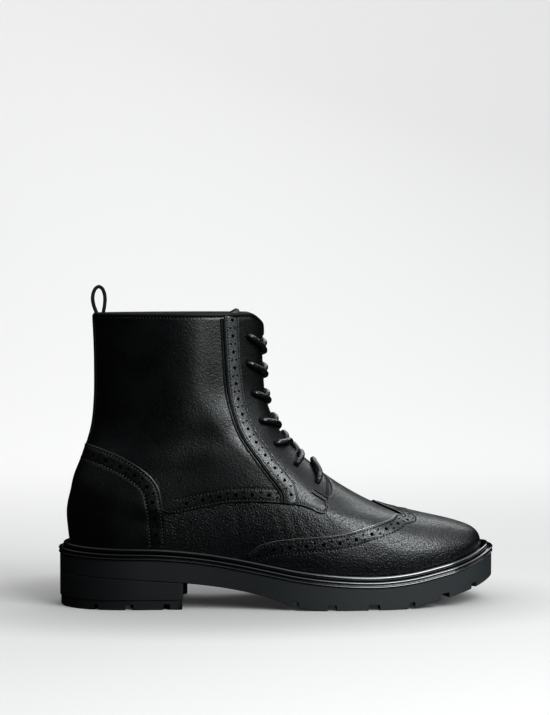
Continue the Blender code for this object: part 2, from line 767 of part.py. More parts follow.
def make_upper():
    outer, inner = upper_grids(52, 20, 1.0)
    made = shell("upper", outer, inner, leather(), wrap=True)
    quarters = quarter_grid()
    lower, upper = -WALL / 3, QUARTER_STEP
    outside = surface(quarters[..., 0], quarters[..., 1], upper)
    inside = surface(quarters[..., 0], quarters[..., 1], lower)
    cut(made, shell("quarters", outside, inside, None, collection=CUTTERS), "UNION")
    cut(made, throat_cutter())
    cut(made, collar_cutter())
    for number in range(len(EYELETS)):
        for side in (LATERAL, MEDIAL):
            cut(made, eyelet_cutter(number, side))


def make_counter():
    side = edge(COUNTER_EDGE[3:], 5)
    side[-1, 1] = FOOT_LEVEL
    top = edge(COUNTER_EDGE[:4], 12, start=(0.0, COUNTER_BACK))
    top = mirrored(top[::-1])
    across = np.linspace(side[-1, 0], -side[-1, 0], len(top))
    foot = np.stack([across, np.full(len(top), FOOT_LEVEL)], axis=1)
    left = side[::-1]
    right = np.stack([-left[:, 0], left[:, 1]], axis=1)
    overlay("heel_counter", patch(foot, top, 5, left, right), SEAT, OVERLAY, leather())


def make_toe_cap():
    crest = [from_above(place) for place in WING_CREST]
    line = edge(WING_EDGE, 40, end=[*crest, (0.5, front_level(WING_PEAK))])
    line[:, 1] = np.maximum(line[:, 1], FOOT_LEVEL)
    top = mirrored(resampled(line, 24))
    share = np.linspace(-1, 1, len(top))
    share = share * (1 - TOE_CROWDING * (1 - share**2))
    foot = np.stack([0.5 + (0.5 - top[0, 0]) * share, np.full(len(top), FOOT_LEVEL)], axis=1)
    overlay("toe_cap", patch(foot, top, 6), SEAT, OVERLAY, leather())


def make_facing_strips():
    rear = edge(STRIP_REAR, 14)
    front = edge(STRIP_FRONT, 14)
    grid = patch(rear, front, 2)
    overlay("facing_strip_outer", grid, QUARTER_STEP + SEAT, OVERLAY, leather())
    overlay("facing_strip_inner", other_side(grid), QUARTER_STEP + SEAT, OVERLAY, leather())


def make_tongue():
    """The tongue lies under the facings. Its top corners stand above the collar, and it dips in front."""
    bottom = front_level(THROAT) - 0.03
    across = np.linspace(-1, 1, 9)
    top = TONGUE_TOP + (1.0 + TONGUE_RISE / UPPER_HEIGHT - TONGUE_TOP) * across**2
    share = np.linspace(0, 1, 12)[:, None]
    v = bottom + (top[None] - bottom) * share
    u = 0.5 + (TONGUE_HALF[0] + (TONGUE_HALF[1] - TONGUE_HALF[0]) * share) * across[None]
    drop = WALL + TONGUE_DROP * np.clip(share * 3, 0.12, 1)[..., None]
    outer = read_grid(GRID, u, v) - read_grid(NORMALS, u, v) * drop
    inner = read_grid(GRID, u, v) - read_grid(NORMALS, u, v) * (drop + TONGUE_THICK)
    shell("tongue", outer, inner, leather())


def make_back_stay():
    """The narrow strap over the back seam, from the counter to the collar."""
    across = np.linspace(-0.5, 0.5, 5) * STAY_WIDTH
    levels = np.linspace(COUNTER_BACK + STAY_END, 1.0 - STAY_END, 9)
    rows = [np.stack([across / girth(v), np.full(5, v)], axis=1) for v in levels]
    overlay("back_stay", np.array(rows), QUARTER_STEP + SEAT, OVERLAY, leather())


def make_pull_loop():
    """A strap folded over the collar at the back seam, one limb outside and one inside."""
    seam = surface(np.array([0.0]), np.array([1.0]))[0]
    outside = seam[0] - QUARTER_STEP - SEAT - OVERLAY - LOOP_STRAP_THICK / 2
    inside = seam[0] + WALL + 2 * SEAT + LOOP_STRAP_THICK / 2
    bend = (LOOP_OUTER - LOOP_STRAP_THICK) / 2
    middle = inside - bend
    top = seam[2] + LOOP_HEIGHT - LOOP_OUTER / 2
    centre = [(inside + LOOP_LEAN, seam[2] - LOOP_OUTER), (inside, seam[2] + CLEARANCE)]
    for angle in np.linspace(0, math.pi, 9):
        centre.append((middle + bend * math.cos(angle), top + bend * math.sin(angle)))
    centre.append((middle - bend, seam[2] + LOOP_OUTER * LOOP_WAIST))
    centre.append((outside + LOOP_FOOT_TURN, seam[2] + 3 * CLEARANCE + LOOP_STRAP_THICK / 2))
    centre = np.array(centre)
    ahead = np.gradient(centre, axis=0)
    normal = np.stack([ahead[:, 1], -ahead[:, 0]], axis=1)
    normal /= np.linalg.norm(normal, axis=1, keepdims=True)
    left = centre + normal * LOOP_STRAP_THICK / 2
    right = centre - normal * LOOP_STRAP_THICK / 2
    half = LOOP_STRAP_WIDTH / 2
    outer = np.array([[(x, y, z) for y in (-half, half)] for x, z in left])
    inner = np.array([[(x, y, z) for y in (-half, half)] for x, z in right])
    shell("pull_loop", outer, inner, webbing())


def lace_path(number):
    """The (u, v) of a lace from its eyelet on the outer side to the facing's edge."""
    start = np.array(on_last(EYELETS[number]))
    level = on_last(LACE_EDGES[number])[1]
    end = np.array([0.5 - (THROAT_GAP / 2 - LACE_DIAMETER / 3) / girth(level), level])
    share = np.linspace(0, 1, 4)[:, None]
    return start * (1 - share) + end * share


def lower_level(level, distance):
    """The level that lies this far down the front from another."""
    step = 0.01
    here, above = surface(np.array([0.5, 0.5]), np.array([level, level + step]))
    return level - distance * step / np.linalg.norm(above - here)


def lace_strand(name, number, side):
    """From one eyelet over the facing's edge and down into the throat."""
    path = lace_path(number) if side == LATERAL else other_side(lace_path(number))
    over = surface(path[:, 0], path[:, 1], QUARTER_STEP + SEAT + LACE_DIAMETER / 2)
    ride = LACE_DIAMETER * (0.1 - 0.3 * side)
    crossing = lower_level(path[-1, 1], 0.5 * LACE_DIAMETER)
    middle = surface(np.array([0.5]), np.array([crossing]), ride)
    ending = lower_level(path[-1, 1], 1.1 * LACE_DIAMETER)
    end = surface(np.array([0.5]), np.array([ending]), -LACE_DIAMETER / 3)
    end[0, 1] -= side * (THROAT_GAP / 2 - LACE_DIAMETER / 2 - CLEARANCE)
    return tube(name, np.concatenate([over, middle, end]), LACE_DIAMETER)


def make_laces():
    """Six crossings and the straight bar at the throat."""
    last = len(EYELETS) - 1
    for number in range(last):
        strands = [lace_strand(f"strand_{number}_{side}", number, side) for side in (LATERAL, MEDIAL)]
        joined(f"lace_crossing_{number + 1}", strands, waxed_cord())
    half = lace_path(last)
    line = np.concatenate([half, [(0.5, half[-1, 1])], other_side(half)[::-1]])
    path = surface(line[:, 0], line[:, 1], QUARTER_STEP + SEAT + LACE_DIAMETER / 2)
    bar = tube("lace_bar", path, LACE_DIAMETER)
    bar.data.materials.append(waxed_cord())


def main():
    clear_scene()
    make_heel()
    make_outsole()
    make_midsole()
    make_welt()
    make_insole()
    make_upper()
    make_tongue()
    make_counter()
    make_toe_cap()
    make_facing_strips()
    make_back_stay()
    make_pull_loop()
    make_laces()


main()
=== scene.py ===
# %% [markdown]
# # A black brogue boot, dressed over its solids
#
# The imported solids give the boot's true shape. This script dresses them: leather panels with real
# punched holes, rows of stitches, a braided lace through its eyelets, a lugged sole, and the finish of
# each material. It reads as a notebook: a cell of words, then a short cell of code.

import math

import bpy
import numpy as np
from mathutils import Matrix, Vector
from mathutils.geometry import delaunay_2d_cdt


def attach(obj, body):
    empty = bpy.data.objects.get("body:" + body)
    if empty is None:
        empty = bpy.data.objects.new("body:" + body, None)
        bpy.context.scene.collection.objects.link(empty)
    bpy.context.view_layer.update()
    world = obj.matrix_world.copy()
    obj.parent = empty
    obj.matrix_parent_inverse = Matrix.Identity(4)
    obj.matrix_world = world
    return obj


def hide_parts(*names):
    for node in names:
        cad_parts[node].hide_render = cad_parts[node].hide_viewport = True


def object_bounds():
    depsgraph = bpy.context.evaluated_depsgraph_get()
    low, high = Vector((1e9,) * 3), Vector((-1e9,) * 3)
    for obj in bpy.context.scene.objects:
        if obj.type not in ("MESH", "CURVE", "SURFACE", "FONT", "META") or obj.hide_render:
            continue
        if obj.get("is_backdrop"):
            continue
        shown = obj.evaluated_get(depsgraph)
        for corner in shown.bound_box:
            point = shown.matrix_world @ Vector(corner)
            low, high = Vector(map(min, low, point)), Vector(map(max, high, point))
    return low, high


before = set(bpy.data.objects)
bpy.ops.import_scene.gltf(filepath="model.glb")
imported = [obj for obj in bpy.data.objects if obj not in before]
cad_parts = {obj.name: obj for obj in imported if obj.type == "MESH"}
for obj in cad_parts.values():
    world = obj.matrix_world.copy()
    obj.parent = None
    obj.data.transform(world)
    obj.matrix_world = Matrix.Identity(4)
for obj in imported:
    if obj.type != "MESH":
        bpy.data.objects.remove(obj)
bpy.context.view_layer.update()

# %% [markdown]
# ## The camera
#
# The boot is seen from its outer side, with the toe turned a little away, by a lens far off and a
# little above the vamp. A camera aims along its own -Z, so a direction turned into a rotation with
# to_track_quat is simpler than three angles.

# %% Camera
CAMERA_DISTANCE = 1.382
CAMERA_ASIDE = -0.0007
CAMERA_HEIGHT = 0.210
CAMERA_YAW = math.radians(-4.0)
LENS_PER_FRAME = 2142 / 715  # focal length as a share of the frame's height
FRAME_SIZE = (550, 715)
HORIZON_ROW = 276.0
SENSOR = 24.0

lens = SENSOR * LENS_PER_FRAME
pitch = math.atan((FRAME_SIZE[1] / 2 - HORIZON_ROW) / (LENS_PER_FRAME * FRAME_SIZE[1]))
camera = bpy.data.objects.new("camera", bpy.data.cameras.new("camera"))
camera.data.sensor_fit = "VERTICAL"
camera.data.sensor_height = SENSOR
camera.data.lens = lens
camera.location = (
    CAMERA_DISTANCE * math.sin(CAMERA_YAW) + CAMERA_ASIDE,
    -CAMERA_DISTANCE * math.cos(CAMERA_YAW),
    CAMERA_HEIGHT,
)
look = Vector((
    -math.sin(CAMERA_YAW) * math.cos(pitch), math.cos(CAMERA_YAW) * math.cos(pitch), -math.sin(pitch),
))
camera.rotation_euler = look.to_track_quat("-Z", "Y").to_euler()
bpy.context.scene.collection.objects.link(camera)
bpy.context.scene.camera = camera
print("lens", round(lens, 1), "mm, pitched down", round(math.degrees(pitch), 2), "degrees")

# %% [markdown]
# ## Sizes of the boot
#
# Every panel lies on one surface, the last. The last is a stack of rings, and each ring is a row of
# shares of a few real sizes in metres, as in the solids. Stating them again keeps each
# new piece on the solid that it dresses.

# %% Driving sizes
LAST_LENGTH = 0.268
LAST_WIDTH = 0.0856
UPPER_HEIGHT = 0.149
SOLE_HEIGHT = 0.037
WELT_REACH = 0.0085
TOE_SWING = 0.005
CLEARANCE = 0.0003
WALL = 0.0022
THROAT_GAP = 0.013
EYELET_DIAMETER = 0.0042
LACE_DIAMETER = 0.0037
OUTER = -1
INNER = 1
BACK = 0.0   # the back seam's place on the way round the last
FRONT = 0.5  # and the front's

# %% Ring tables
RING_END_COLUMNS = (
    "rise", "back_x", "front_x", "front_rise", "hold",
    "back_cap", "back_power", "front_cap", "front_power",
)
RING_ENDS = (
    (0.000, 0.009, 0.997, 0.000, 1.00, 0.160, 2.35, 0.290, 2.30),
    (0.067, 0.004, 0.988, 0.073, 0.97, 0.172, 2.30, 0.290, 2.30),
    (0.161, 0.001, 0.941, 0.144, 0.88, 0.182, 2.30, 0.270, 2.20),
    (0.268, 0.015, 0.850, 0.202, 0.70, 0.190, 2.25, 0.240, 2.10),
    (0.396, 0.042, 0.740, 0.247, 0.45, 0.200, 2.20, 0.212, 2.05),
    (0.517, 0.062, 0.630, 0.334, 0.20, 0.209, 2.10, 0.196, 2.00),
    (0.638, 0.069, 0.532, 0.465, 0.05, 0.216, 2.05, 0.187, 2.00),
    (0.755, 0.070, 0.479, 0.634, 0.00, 0.216, 2.05, 0.187, 2.00),
    (0.872, 0.069, 0.467, 0.815, 0.00, 0.216, 2.05, 0.187, 2.00),
    (1.000, 0.066, 0.465, 1.033, 0.00, 0.213, 2.05, 0.192, 2.00),
    (1.080, 0.065, 0.465, 1.123, 0.00, 0.213, 2.05, 0.194, 2.00),
)
RING_WIDTH_COLUMNS = (
    "outer_heel", "outer_waist", "outer_ball", "outer_toe",
    "inner_heel", "inner_waist", "inner_ball", "inner_toe",
)
RING_WIDTHS = (
    (0.347, 0.352, 0.486, 0.466, 0.347, 0.295, 0.500, 0.477),
    (0.367, 0.369, 0.504, 0.483, 0.367, 0.324, 0.518, 0.494),
    (0.380, 0.381, 0.500, 0.472, 0.380, 0.347, 0.512, 0.483),
    (0.375, 0.381, 0.472, 0.443, 0.375, 0.358, 0.483, 0.455),
    (0.364, 0.381, 0.415, 0.409, 0.364, 0.369, 0.426, 0.420),
    (0.352, 0.381, 0.358, 0.358, 0.352, 0.375, 0.364, 0.364),
    (0.347, 0.375, 0.330, 0.330, 0.347, 0.375, 0.330, 0.330),
    (0.352, 0.375, 0.318, 0.318, 0.352, 0.375, 0.318, 0.318),
    (0.362, 0.380, 0.318, 0.318, 0.362, 0.380, 0.318, 0.318),
    (0.372, 0.386, 0.318, 0.318, 0.372, 0.386, 0.318, 0.318),
    (0.376, 0.390, 0.318, 0.318, 0.376, 0.390, 0.318, 0.318),
)
STATIONS = {OUTER: (0.134, 0.332, 0.604, 0.873), INNER: (0.134, 0.381, 0.705, 0.892)}
WIDTH_NAMES = {OUTER: RING_WIDTH_COLUMNS[:4], INNER: RING_WIDTH_COLUMNS[4:]}
SOLE_LINE = {
    "along": (
        -0.026, 0.108, 0.220, 0.295, 0.399, 0.474, 0.537, 0.604,
        0.668, 0.743, 0.817, 0.873, 0.944, 0.985, 1.026,
    ),
    "rim": (
        1.000, 0.960, 0.940, 0.892, 0.778, 0.676, 0.589, 0.527,
        0.490, 0.482, 0.532, 0.608, 0.727, 0.832, 0.954,
    ),
    "under": (
        0.581, 0.540, 0.486, 0.440, 0.338, 0.216, 0.060, 0.000,
        0.000, 0.000, 0.032, 0.120, 0.243, 0.335, 0.446,
    ),
}
RINGS = {name: [row[i] for row in RING_ENDS] for i, name in enumerate(RING_END_COLUMNS)}
RINGS |= {name: [row[i] for row in RING_WIDTHS] for i, name in enumerate(RING_WIDTH_COLUMNS)}
print("rings:", len(RING_ENDS))

# %% [markdown]
# ## Pattern lines
#
# A shoemaker draws the panels on the last from the side. Each line is a few places seen from the outer
# side: how far along the last, and how far up it, both as shares.

# %% Pattern lines
COUNTER_BACK = 0.443
COUNTER_EDGE = (
    (0.095, 0.420), (0.136, 0.389), (0.174, 0.349), (0.200, 0.309), (0.215, 0.268),
    (0.222, 0.212), (0.226, 0.159), (0.229, 0.107), (0.231, 0.054), (0.233, 0.005),
)
STRIP_REAR = (
    (0.368, 0.985), (0.371, 0.899), (0.375, 0.772), (0.379, 0.678), (0.388, 0.597), (0.402, 0.523),
    (0.424, 0.447), (0.452, 0.379), (0.479, 0.315), (0.493, 0.284), (0.507, 0.248), (0.512, 0.200),
)
STRIP_FRONT = (
    (0.402, 0.985), (0.403, 0.899), (0.407, 0.772), (0.411, 0.698), (0.418, 0.620), (0.430, 0.548),
    (0.449, 0.480), (0.470, 0.427), (0.493, 0.368), (0.516, 0.322), (0.531, 0.285), (0.539, 0.250),
    (0.541, 0.200),
)
QUARTER_LOW = (
    (0.243, 0.152), (0.286, 0.168), (0.331, 0.184), (0.376, 0.199), (0.421, 0.203),
    (0.466, 0.202), (0.512, 0.195), (0.550, 0.187), (0.575, 0.172), (0.597, 0.155), (0.607, 0.157),
)
TAB_FRONT = ((0.607, 0.157), (0.613, 0.198), (0.618, 0.242), (0.620, 0.280))
# The rounded front corner of the collar.
COLLAR_CORNER = ((0.402, 1.010), (0.437, 1.000), (0.453, 0.981), (0.463, 0.960), (0.469, 0.920))
WING_EDGE = (
    (0.424, -0.017), (0.445, 0.013), (0.482, 0.038), (0.526, 0.049), (0.588, 0.058), (0.645, 0.068),
    (0.712, 0.097), (0.766, 0.118), (0.788, 0.130),
)
# Its middle seen from above: (along, across), as shares of LAST_LENGTH and LAST_WIDTH.
WING_CREST = ((0.796, -0.235), (0.784, -0.115), (0.757, -0.040))
WING_PEAK = 0.735
THROAT = 0.622
# The tongue: half its width at its foot and at its top as shares of the ring, and the level of its
# dip in front.
TONGUE_HALF = (0.060, 0.105)
TONGUE_TOP = 0.955
# Each eyelet from the collar down, and where its lace crosses the facing's edge.
EYELETS = (
    (0.425, 0.906), (0.425, 0.789), (0.437, 0.661), (0.456, 0.540),
    (0.491, 0.440), (0.539, 0.352), (0.590, 0.277),
)
LACE_EDGES = (
    (0.473, 0.843), (0.478, 0.738), (0.481, 0.624), (0.505, 0.514),
    (0.545, 0.432), (0.588, 0.374), (0.616, 0.329),
)
print("eyelets a side:", len(EYELETS))

# %% [markdown]
# ## The last as a surface
#
# A grid of points is worked out once, ring by ring, and everything else reads it at (u, v): u goes once
# round from the back seam over the outer side, v goes up. Reading a grid is fast and keeps each piece on
# the same skin. The steps here are finer than in the solids, so that highlights run smooth.

# %% The last's grid
GRID_RINGS = 300
GRID_ROUND = 640


def smooth(places, values, at):
    """A cubic curve through the values given at these places."""
    places = np.asarray(places, float)
    values = np.asarray(values, float)
    steepness = np.gradient(values, places)
    first = np.clip(np.searchsorted(places, at) - 1, 0, len(places) - 2)
    span = places[first + 1] - places[first]
    s = (np.clip(at, places[0], places[-1]) - places[first]) / span
    return (
        (2 * s**3 - 3 * s**2 + 1) * values[first]
        + (s**3 - 2 * s**2 + s) * span * steepness[first]
        + (3 * s**2 - 2 * s**3) * values[first + 1]
        + (s**3 - s**2) * span * steepness[first + 1]
    )


def ramp(value, low, high):
    """Rises smoothly from 0 at low to 1 at high."""
    s = np.clip((np.asarray(value, float) - low) / (high - low), 0, 1)
    return s * s * (3 - 2 * s)


def run_length(points):
    """The length along a row of points up to each of them."""
    return np.concatenate([[0], np.cumsum(np.linalg.norm(np.diff(points, axis=0), axis=1))])


def along(share):
    """The x of a share of the last, measured from its heel end."""
    return (np.asarray(share) - 0.5) * LAST_LENGTH


def sole_line(name, x):
    height = smooth(SOLE_LINE["along"], SOLE_LINE[name], x / LAST_LENGTH + 0.5) * SOLE_HEIGHT
    return np.maximum(height, 0.0)


def rounded_end(distance, length, power):
    """The share of its full width that a ring has at this distance from its end."""
    left = np.clip(1 - distance / length, 0, 1)
    return (1 - left**power) ** (1 / power)


def centre_line(x):
    """The last swings towards the big toe in front of the waist."""
    s = np.clip((x - along(0.45)) / (along(1.0) - along(0.45)), 0, 1)
    return TOE_SWING * s * s


def ring(level, count):
    """One ring at this share of the height: along the outer side, then back along the inner."""
    row = {name: float(smooth(RINGS["rise"], values, level)) for name, values in RINGS.items()}
    back = along(row["back_x"])
    front = along(row["front_x"])
    share = (1 - np.cos(np.linspace(0, math.pi, 4 * count))) / 2
    x = back + (front - back) * share
    ends = rounded_end(x - back, row["back_cap"] * LAST_LENGTH, row["back_power"])
    ends = ends * rounded_end(front - x, row["front_cap"] * LAST_LENGTH, row["front_power"])
    straight = (1 - share) * sole_line("rim", along(0.0)) + share * sole_line("rim", along(1.0))
    rise = (1 - share) * level + share * row["front_rise"]
    z = sole_line("rim", x) * row["hold"] + straight * (1 - row["hold"]) + rise * UPPER_HEIGHT + CLEARANCE
    halves = []
    for side in (OUTER, INNER):
        width = smooth(along(STATIONS[side]), [row[name] for name in WIDTH_NAMES[side]], x)
        points = np.stack([x, centre_line(x) + side * width * ends * LAST_WIDTH, z], axis=1)
        length = run_length(points)
        even = np.linspace(0, length[-1], count + 1)
        halves.append(np.stack([np.interp(even, length, points[:, i]) for i in range(3)], axis=1))
    return np.concatenate([halves[0], halves[1][-2::-1]])


TOP_LEVEL = RINGS["rise"][-1]
GRID = np.array([ring(level, GRID_ROUND // 2) for level in np.linspace(0, TOP_LEVEL, GRID_RINGS)])
print("grid of the last:", GRID.shape)

# %% Read the last
def grid_normals():
    """The direction straight out of the last at each point of the grid."""
    around = np.roll(GRID[:, :-1], -1, axis=1) - np.roll(GRID[:, :-1], 1, axis=1)
    normals = np.cross(around, np.gradient(GRID[:, :-1], axis=0))
    normals /= np.linalg.norm(normals, axis=2, keepdims=True)
    return np.concatenate([normals, normals[:, :1]], axis=1)


NORMALS = grid_normals()


def read_grid(grid, u, v):
    """The grid's value at u round the ring (whole numbers at the back seam) and v up the last."""
    i = (np.asarray(u, float) % 1.0) * GRID_ROUND
    j = np.clip(np.asarray(v, float) / TOP_LEVEL, 0, 1) * (GRID_RINGS - 1)
    i0 = np.minimum(i.astype(int), GRID_ROUND - 1)
    j0 = np.minimum(j.astype(int), GRID_RINGS - 2)
    s = (i - i0)[..., None]
    t = (j - j0)[..., None]
    low = grid[j0, i0] * (1 - s) + grid[j0, i0 + 1] * s
    high = grid[j0 + 1, i0] * (1 - s) + grid[j0 + 1, i0 + 1] * s
    return low * (1 - t) + high * t


def surface(u, v, lift=0.0):
    """Points of the last, moved straight out by lift, which may be one height or one for each point."""
    lift = np.asarray(lift, float)
    return read_grid(GRID, u, v) + read_grid(NORMALS, u, v) * (lift[..., None] if lift.ndim else lift)


def slopes(points):
    """How far a place on the last moves for one unit of u and of v."""
    u, v = points[..., 0], points[..., 1]
    step_u, step_v = 2.0 / GRID_ROUND, 2.0 * TOP_LEVEL / GRID_RINGS
    low, high = np.clip(v - step_v, 0, TOP_LEVEL), np.clip(v + step_v, 0, TOP_LEVEL)
    across = (surface(u + step_u, v) - surface(u - step_u, v)) / (2 * step_u)
    up = (surface(u, high) - surface(u, low)) / (high - low)[..., None]
    return across, up


def stepped(points, moves):
    """The (u, v) reached from points by small moves in space along the last."""
    across, up = slopes(points)
    aa = (across * across).sum(-1)
    bb = (up * up).sum(-1)
    ab = (across * up).sum(-1)
    am = (across * moves).sum(-1)
    bm = (up * moves).sum(-1)
    det = aa * bb - ab * ab
    return points + np.stack([(bb * am - ab * bm) / det, (aa * bm - ab * am) / det], axis=-1)


# %% Draw lines on the last
def side_view(points):
    return points[..., ::2]


def top_view(points):
    return points[..., :2]


def seen_at(place):
    """The x and z of a place given as shares in the view from the outer side."""
    return along(place[0]), SOLE_HEIGHT + place[1] * UPPER_HEIGHT


def point_seen(target, view):
    """The u and v on the outer side that this view shows nearest to target."""
    half = GRID[:, : GRID_ROUND // 2 + 1]
    gap = ((view(half) - target) ** 2).sum(axis=2)
    if view is top_view:
        gap = np.where(NORMALS[:, : GRID_ROUND // 2 + 1, 2] > 0, gap, np.inf)
    j, i = np.unravel_index(np.argmin(gap), gap.shape)
    u = i / GRID_ROUND
    v = j / (GRID_RINGS - 1) * TOP_LEVEL
    step = 0.002
    for _ in range(4):
        here, right, above = view(surface(np.array([u, u + step, u]), np.array([v, v, v + step])))
        turn = np.stack([right - here, above - here], axis=1) / step
        if abs(np.linalg.det(turn)) < 1e-4:
            break
        move = np.linalg.solve(turn, np.array(target) - here)
        u = float(np.clip(u + np.clip(move[0], -0.01, 0.01), 0, 0.5))
        v = float(np.clip(v + np.clip(move[1], -0.02, 0.02), 0, TOP_LEVEL))
    return u, v


def on_last(place):
    return point_seen(seen_at(place), side_view)


def from_above(place):
    return point_seen((along(place[0]), place[1] * LAST_WIDTH), top_view)


def line_length(line):
    """The length along a line of (u, v) up to each of its points."""
    return run_length(surface(line[:, 0], line[:, 1]))


def resampled(line, spacing, curved=False):
    """The same line with its points evenly spaced, through a smooth curve if it is curved."""
    length = line_length(line)
    even = np.linspace(0, length[-1], max(2, round(length[-1] / spacing)) + 1)
    read = smooth if curved else lambda places, values, at: np.interp(at, places, values)
    return np.stack([read(length, line[:, i], even) for i in range(2)], axis=1)


def edge(places, spacing=0.001, start=(), end=()):
    """A smooth line of (u, v) through places in the outer view."""
    points = np.array([*start, *[on_last(place) for place in places], *end])
    return resampled(resampled(points, spacing, curved=True), spacing)


def front_level(share):
    """The level whose ring ends in front at this share of the last."""
    return float(np.interp(-share, [-x for x in RINGS["front_x"][:-1]], RINGS["rise"][:-1]))


def girth(v):
    """The length of the ring at this level."""
    return line_length(np.stack([np.linspace(0, 0.999, 81), np.full(81, v)], axis=1))[-1]


def other_side(line, middle=BACK):
    """The same line on the inner side. Mirrored about the back seam, its u runs from 0 down to -0.5 in
    front; mirrored about the front, it runs on from 0.5 up to 1."""
    return np.stack([2 * middle - line[..., 0], line[..., 1]], axis=-1)


def shifted(line, distance, steps=6):
    """The line moved sideways along the last, to its left as it runs, by this distance."""
    for _ in range(steps):
        points = surface(line[:, 0], line[:, 1])
        ahead = np.gradient(points, axis=0)
        left = np.cross(read_grid(NORMALS, line[:, 0], line[:, 1]), ahead)
        left /= np.linalg.norm(left, axis=1, keepdims=True)
        line = stepped(line, left * distance / steps)
    return line


print("girth at the collar:", round(girth(1.0) * 1000), "mm")

# %% [markdown]
# ## Finishes as expressions
#
# A material is a small graph. Written node by node it hides what it does, so a wire is wrapped in a
# class whose operators add the Math nodes. Any other node comes from one method, which takes the node's
# type, its settings and the values or wires of its sockets.

# %% Wires
class Wire:
    """The output of a node, which can be added, multiplied and so on."""

    def __init__(self, finish, socket):
        self.finish = finish
        self.socket = socket

    def maths(self, operation, *values):
        return self.finish.node("ShaderNodeMath", {"operation": operation}, dict(enumerate(values)))

    def __add__(self, other):
        return self.maths("ADD", self, other)

    def __sub__(self, other):
        return self.maths("SUBTRACT", self, other)

    def __rsub__(self, other):
        return self.maths("SUBTRACT", other, self)

    def __mul__(self, other):
        return self.maths("MULTIPLY", self, other)

    def between(self, low, high):
        """Rises smoothly from 0 at low to 1 at high."""
        settings = {"interpolation_type": "SMOOTHSTEP"}
        return self.finish.node("ShaderNodeMapRange", settings, {"Value": self, 1: low, 2: high})

    __radd__ = __add__
    __rmul__ = __mul__


class Finish:
    """A material built on the Principled shader, and the nodes that feed it."""

    def __init__(self, name, **fixed):
        self.material = bpy.data.materials.new(name)
        self.material.use_nodes = True
        self.nodes = self.material.node_tree.nodes
        self.shader = self.nodes["Principled BSDF"]
        for socket, value in fixed.items():
            self.shader.inputs[socket.replace("_", " ")].default_value = value

    def connect(self, socket, value):
        if isinstance(value, Wire):
            self.material.node_tree.links.new(value.socket, socket)
        else:
            socket.default_value = value

    def node(self, kind, settings=None, inputs=None, out=0):
        made = self.nodes.new(kind)
        for name, value in (settings or {}).items():
            setattr(made, name, value)
        for name, value in (inputs or {}).items():
            self.connect(made.inputs[name], value)
        return Wire(self, made.outputs[out])

    def place(self):
        """Where a point lies in the boot's own frame, in metres."""
        return self.node("ShaderNodeTexCoord", out="Object")

    def noise(self, size, detail):
        """Soft noise whose blobs are about this large, in metres."""
        inputs = {"Vector": self.place(), "Scale": 1 / size, "Detail": detail}
        return self.node("ShaderNodeTexNoise", None, inputs)

    def cells(self, size):
        """Rounded cells of about this size, like the pebbles of a grain."""
        inputs = {"Vector": self.place(), "Scale": 1 / size}
        return self.node("ShaderNodeTexVoronoi", None, inputs, "Distance")

    def blend(self, share, first, second):
        """A colour between two, by a share that may vary over the surface."""
        inputs = {"Factor": share, 6: (*first, 1.0), 7: (*second, 1.0)}
        return self.node("ShaderNodeMix", {"data_type": "RGBA"}, inputs, 2)

    def bump(self, height, distance):
        """Relief: a height from 0 to 1 that stands up by this distance, in metres."""
        inputs = {"Height": height, "Distance": distance, "Strength": 1.0}
        return self.node("ShaderNodeBump", None, inputs)

    def feed(self, **sockets):
        """Links what varies over the surface to the shader, and hands back the material."""
        for socket, value in sockets.items():
            self.connect(self.shader.inputs[socket.replace("_", " ")], value)
        return self.material


# %% [markdown]
# ## Leather
#
# Real grain leather is near black with fine pebbles, about a millimetre across, that only show where
# light grazes. An image could carry them, but noise keeps its scale on every panel. The colour hardly
# changes, and the grain goes into the bump and the roughness. A thin coat stands for the polish: fine
# specks break up its gleam, and a wide noise makes it uneven.

# %% Leather
def leather(name, colour, worn, roughness, coat, grain=0.00026, coat_index=1.5):
    """Grain leather: coat is how polished it is, grain how deep its pebbles are in metres."""
    finish = Finish(name, IOR=1.5, Coat_Roughness=0.20, Coat_IOR=coat_index)
    pebbles = finish.cells(0.0011)
    fine = finish.noise(0.0009, 2.0)
    speck = finish.noise(0.0007, 1.0)
    wide = finish.noise(0.022, 3.0)
    height = pebbles * 0.6 + fine * 0.8
    return finish.feed(
        Base_Color=finish.blend(wide.between(0.35, 0.75) * 0.6 + fine * 0.3, colour, worn),
        Roughness=roughness + (wide - 0.5) * 0.16 + (fine - 0.5) * 0.30,
        Coat_Weight=coat + (wide - 0.5) * 0.20 + (speck - 0.5) * 3.2,
        Normal=finish.bump(height, grain),
    )


upper_leather = leather(
    "upper_leather", (0.0014, 0.0017, 0.0019), (0.0045, 0.0050, 0.0055), 0.32, 0.16, 0.00019,
)
vamp_leather = leather(
    "vamp_leather", (0.0016, 0.0020, 0.0024), (0.0055, 0.0062, 0.0070), 0.33, 0.28, 0.00040,
)
counter_leather = leather(
    "counter_leather", (0.0012, 0.0013, 0.0014), (0.0035, 0.0038, 0.0040), 0.34, 0.15, 0.00012,
)
# The strip's base colour is far lighter than the other leathers: partly a lighter leather, partly painted
# sheen.
strip_leather_with_painted_sheen = leather("strip_leather_with_painted_sheen", (0.020, 0.022, 0.022), (0.045, 0.049, 0.049), 0.36, 0.25, 0.00022)
edge_leather = leather(
    "edge_leather", (0.0015, 0.0015, 0.0018), (0.004, 0.004, 0.005), 0.24, 1.0, 0.00005, coat_index=2.3,
)
tongue_leather = leather("tongue_leather", (0.0025, 0.0028, 0.0030), (0.006, 0.006, 0.007), 0.44, 0.05)
footbed_leather = leather("footbed_leather", (0.030, 0.027, 0.024), (0.055, 0.050, 0.045), 0.6, 0.0)


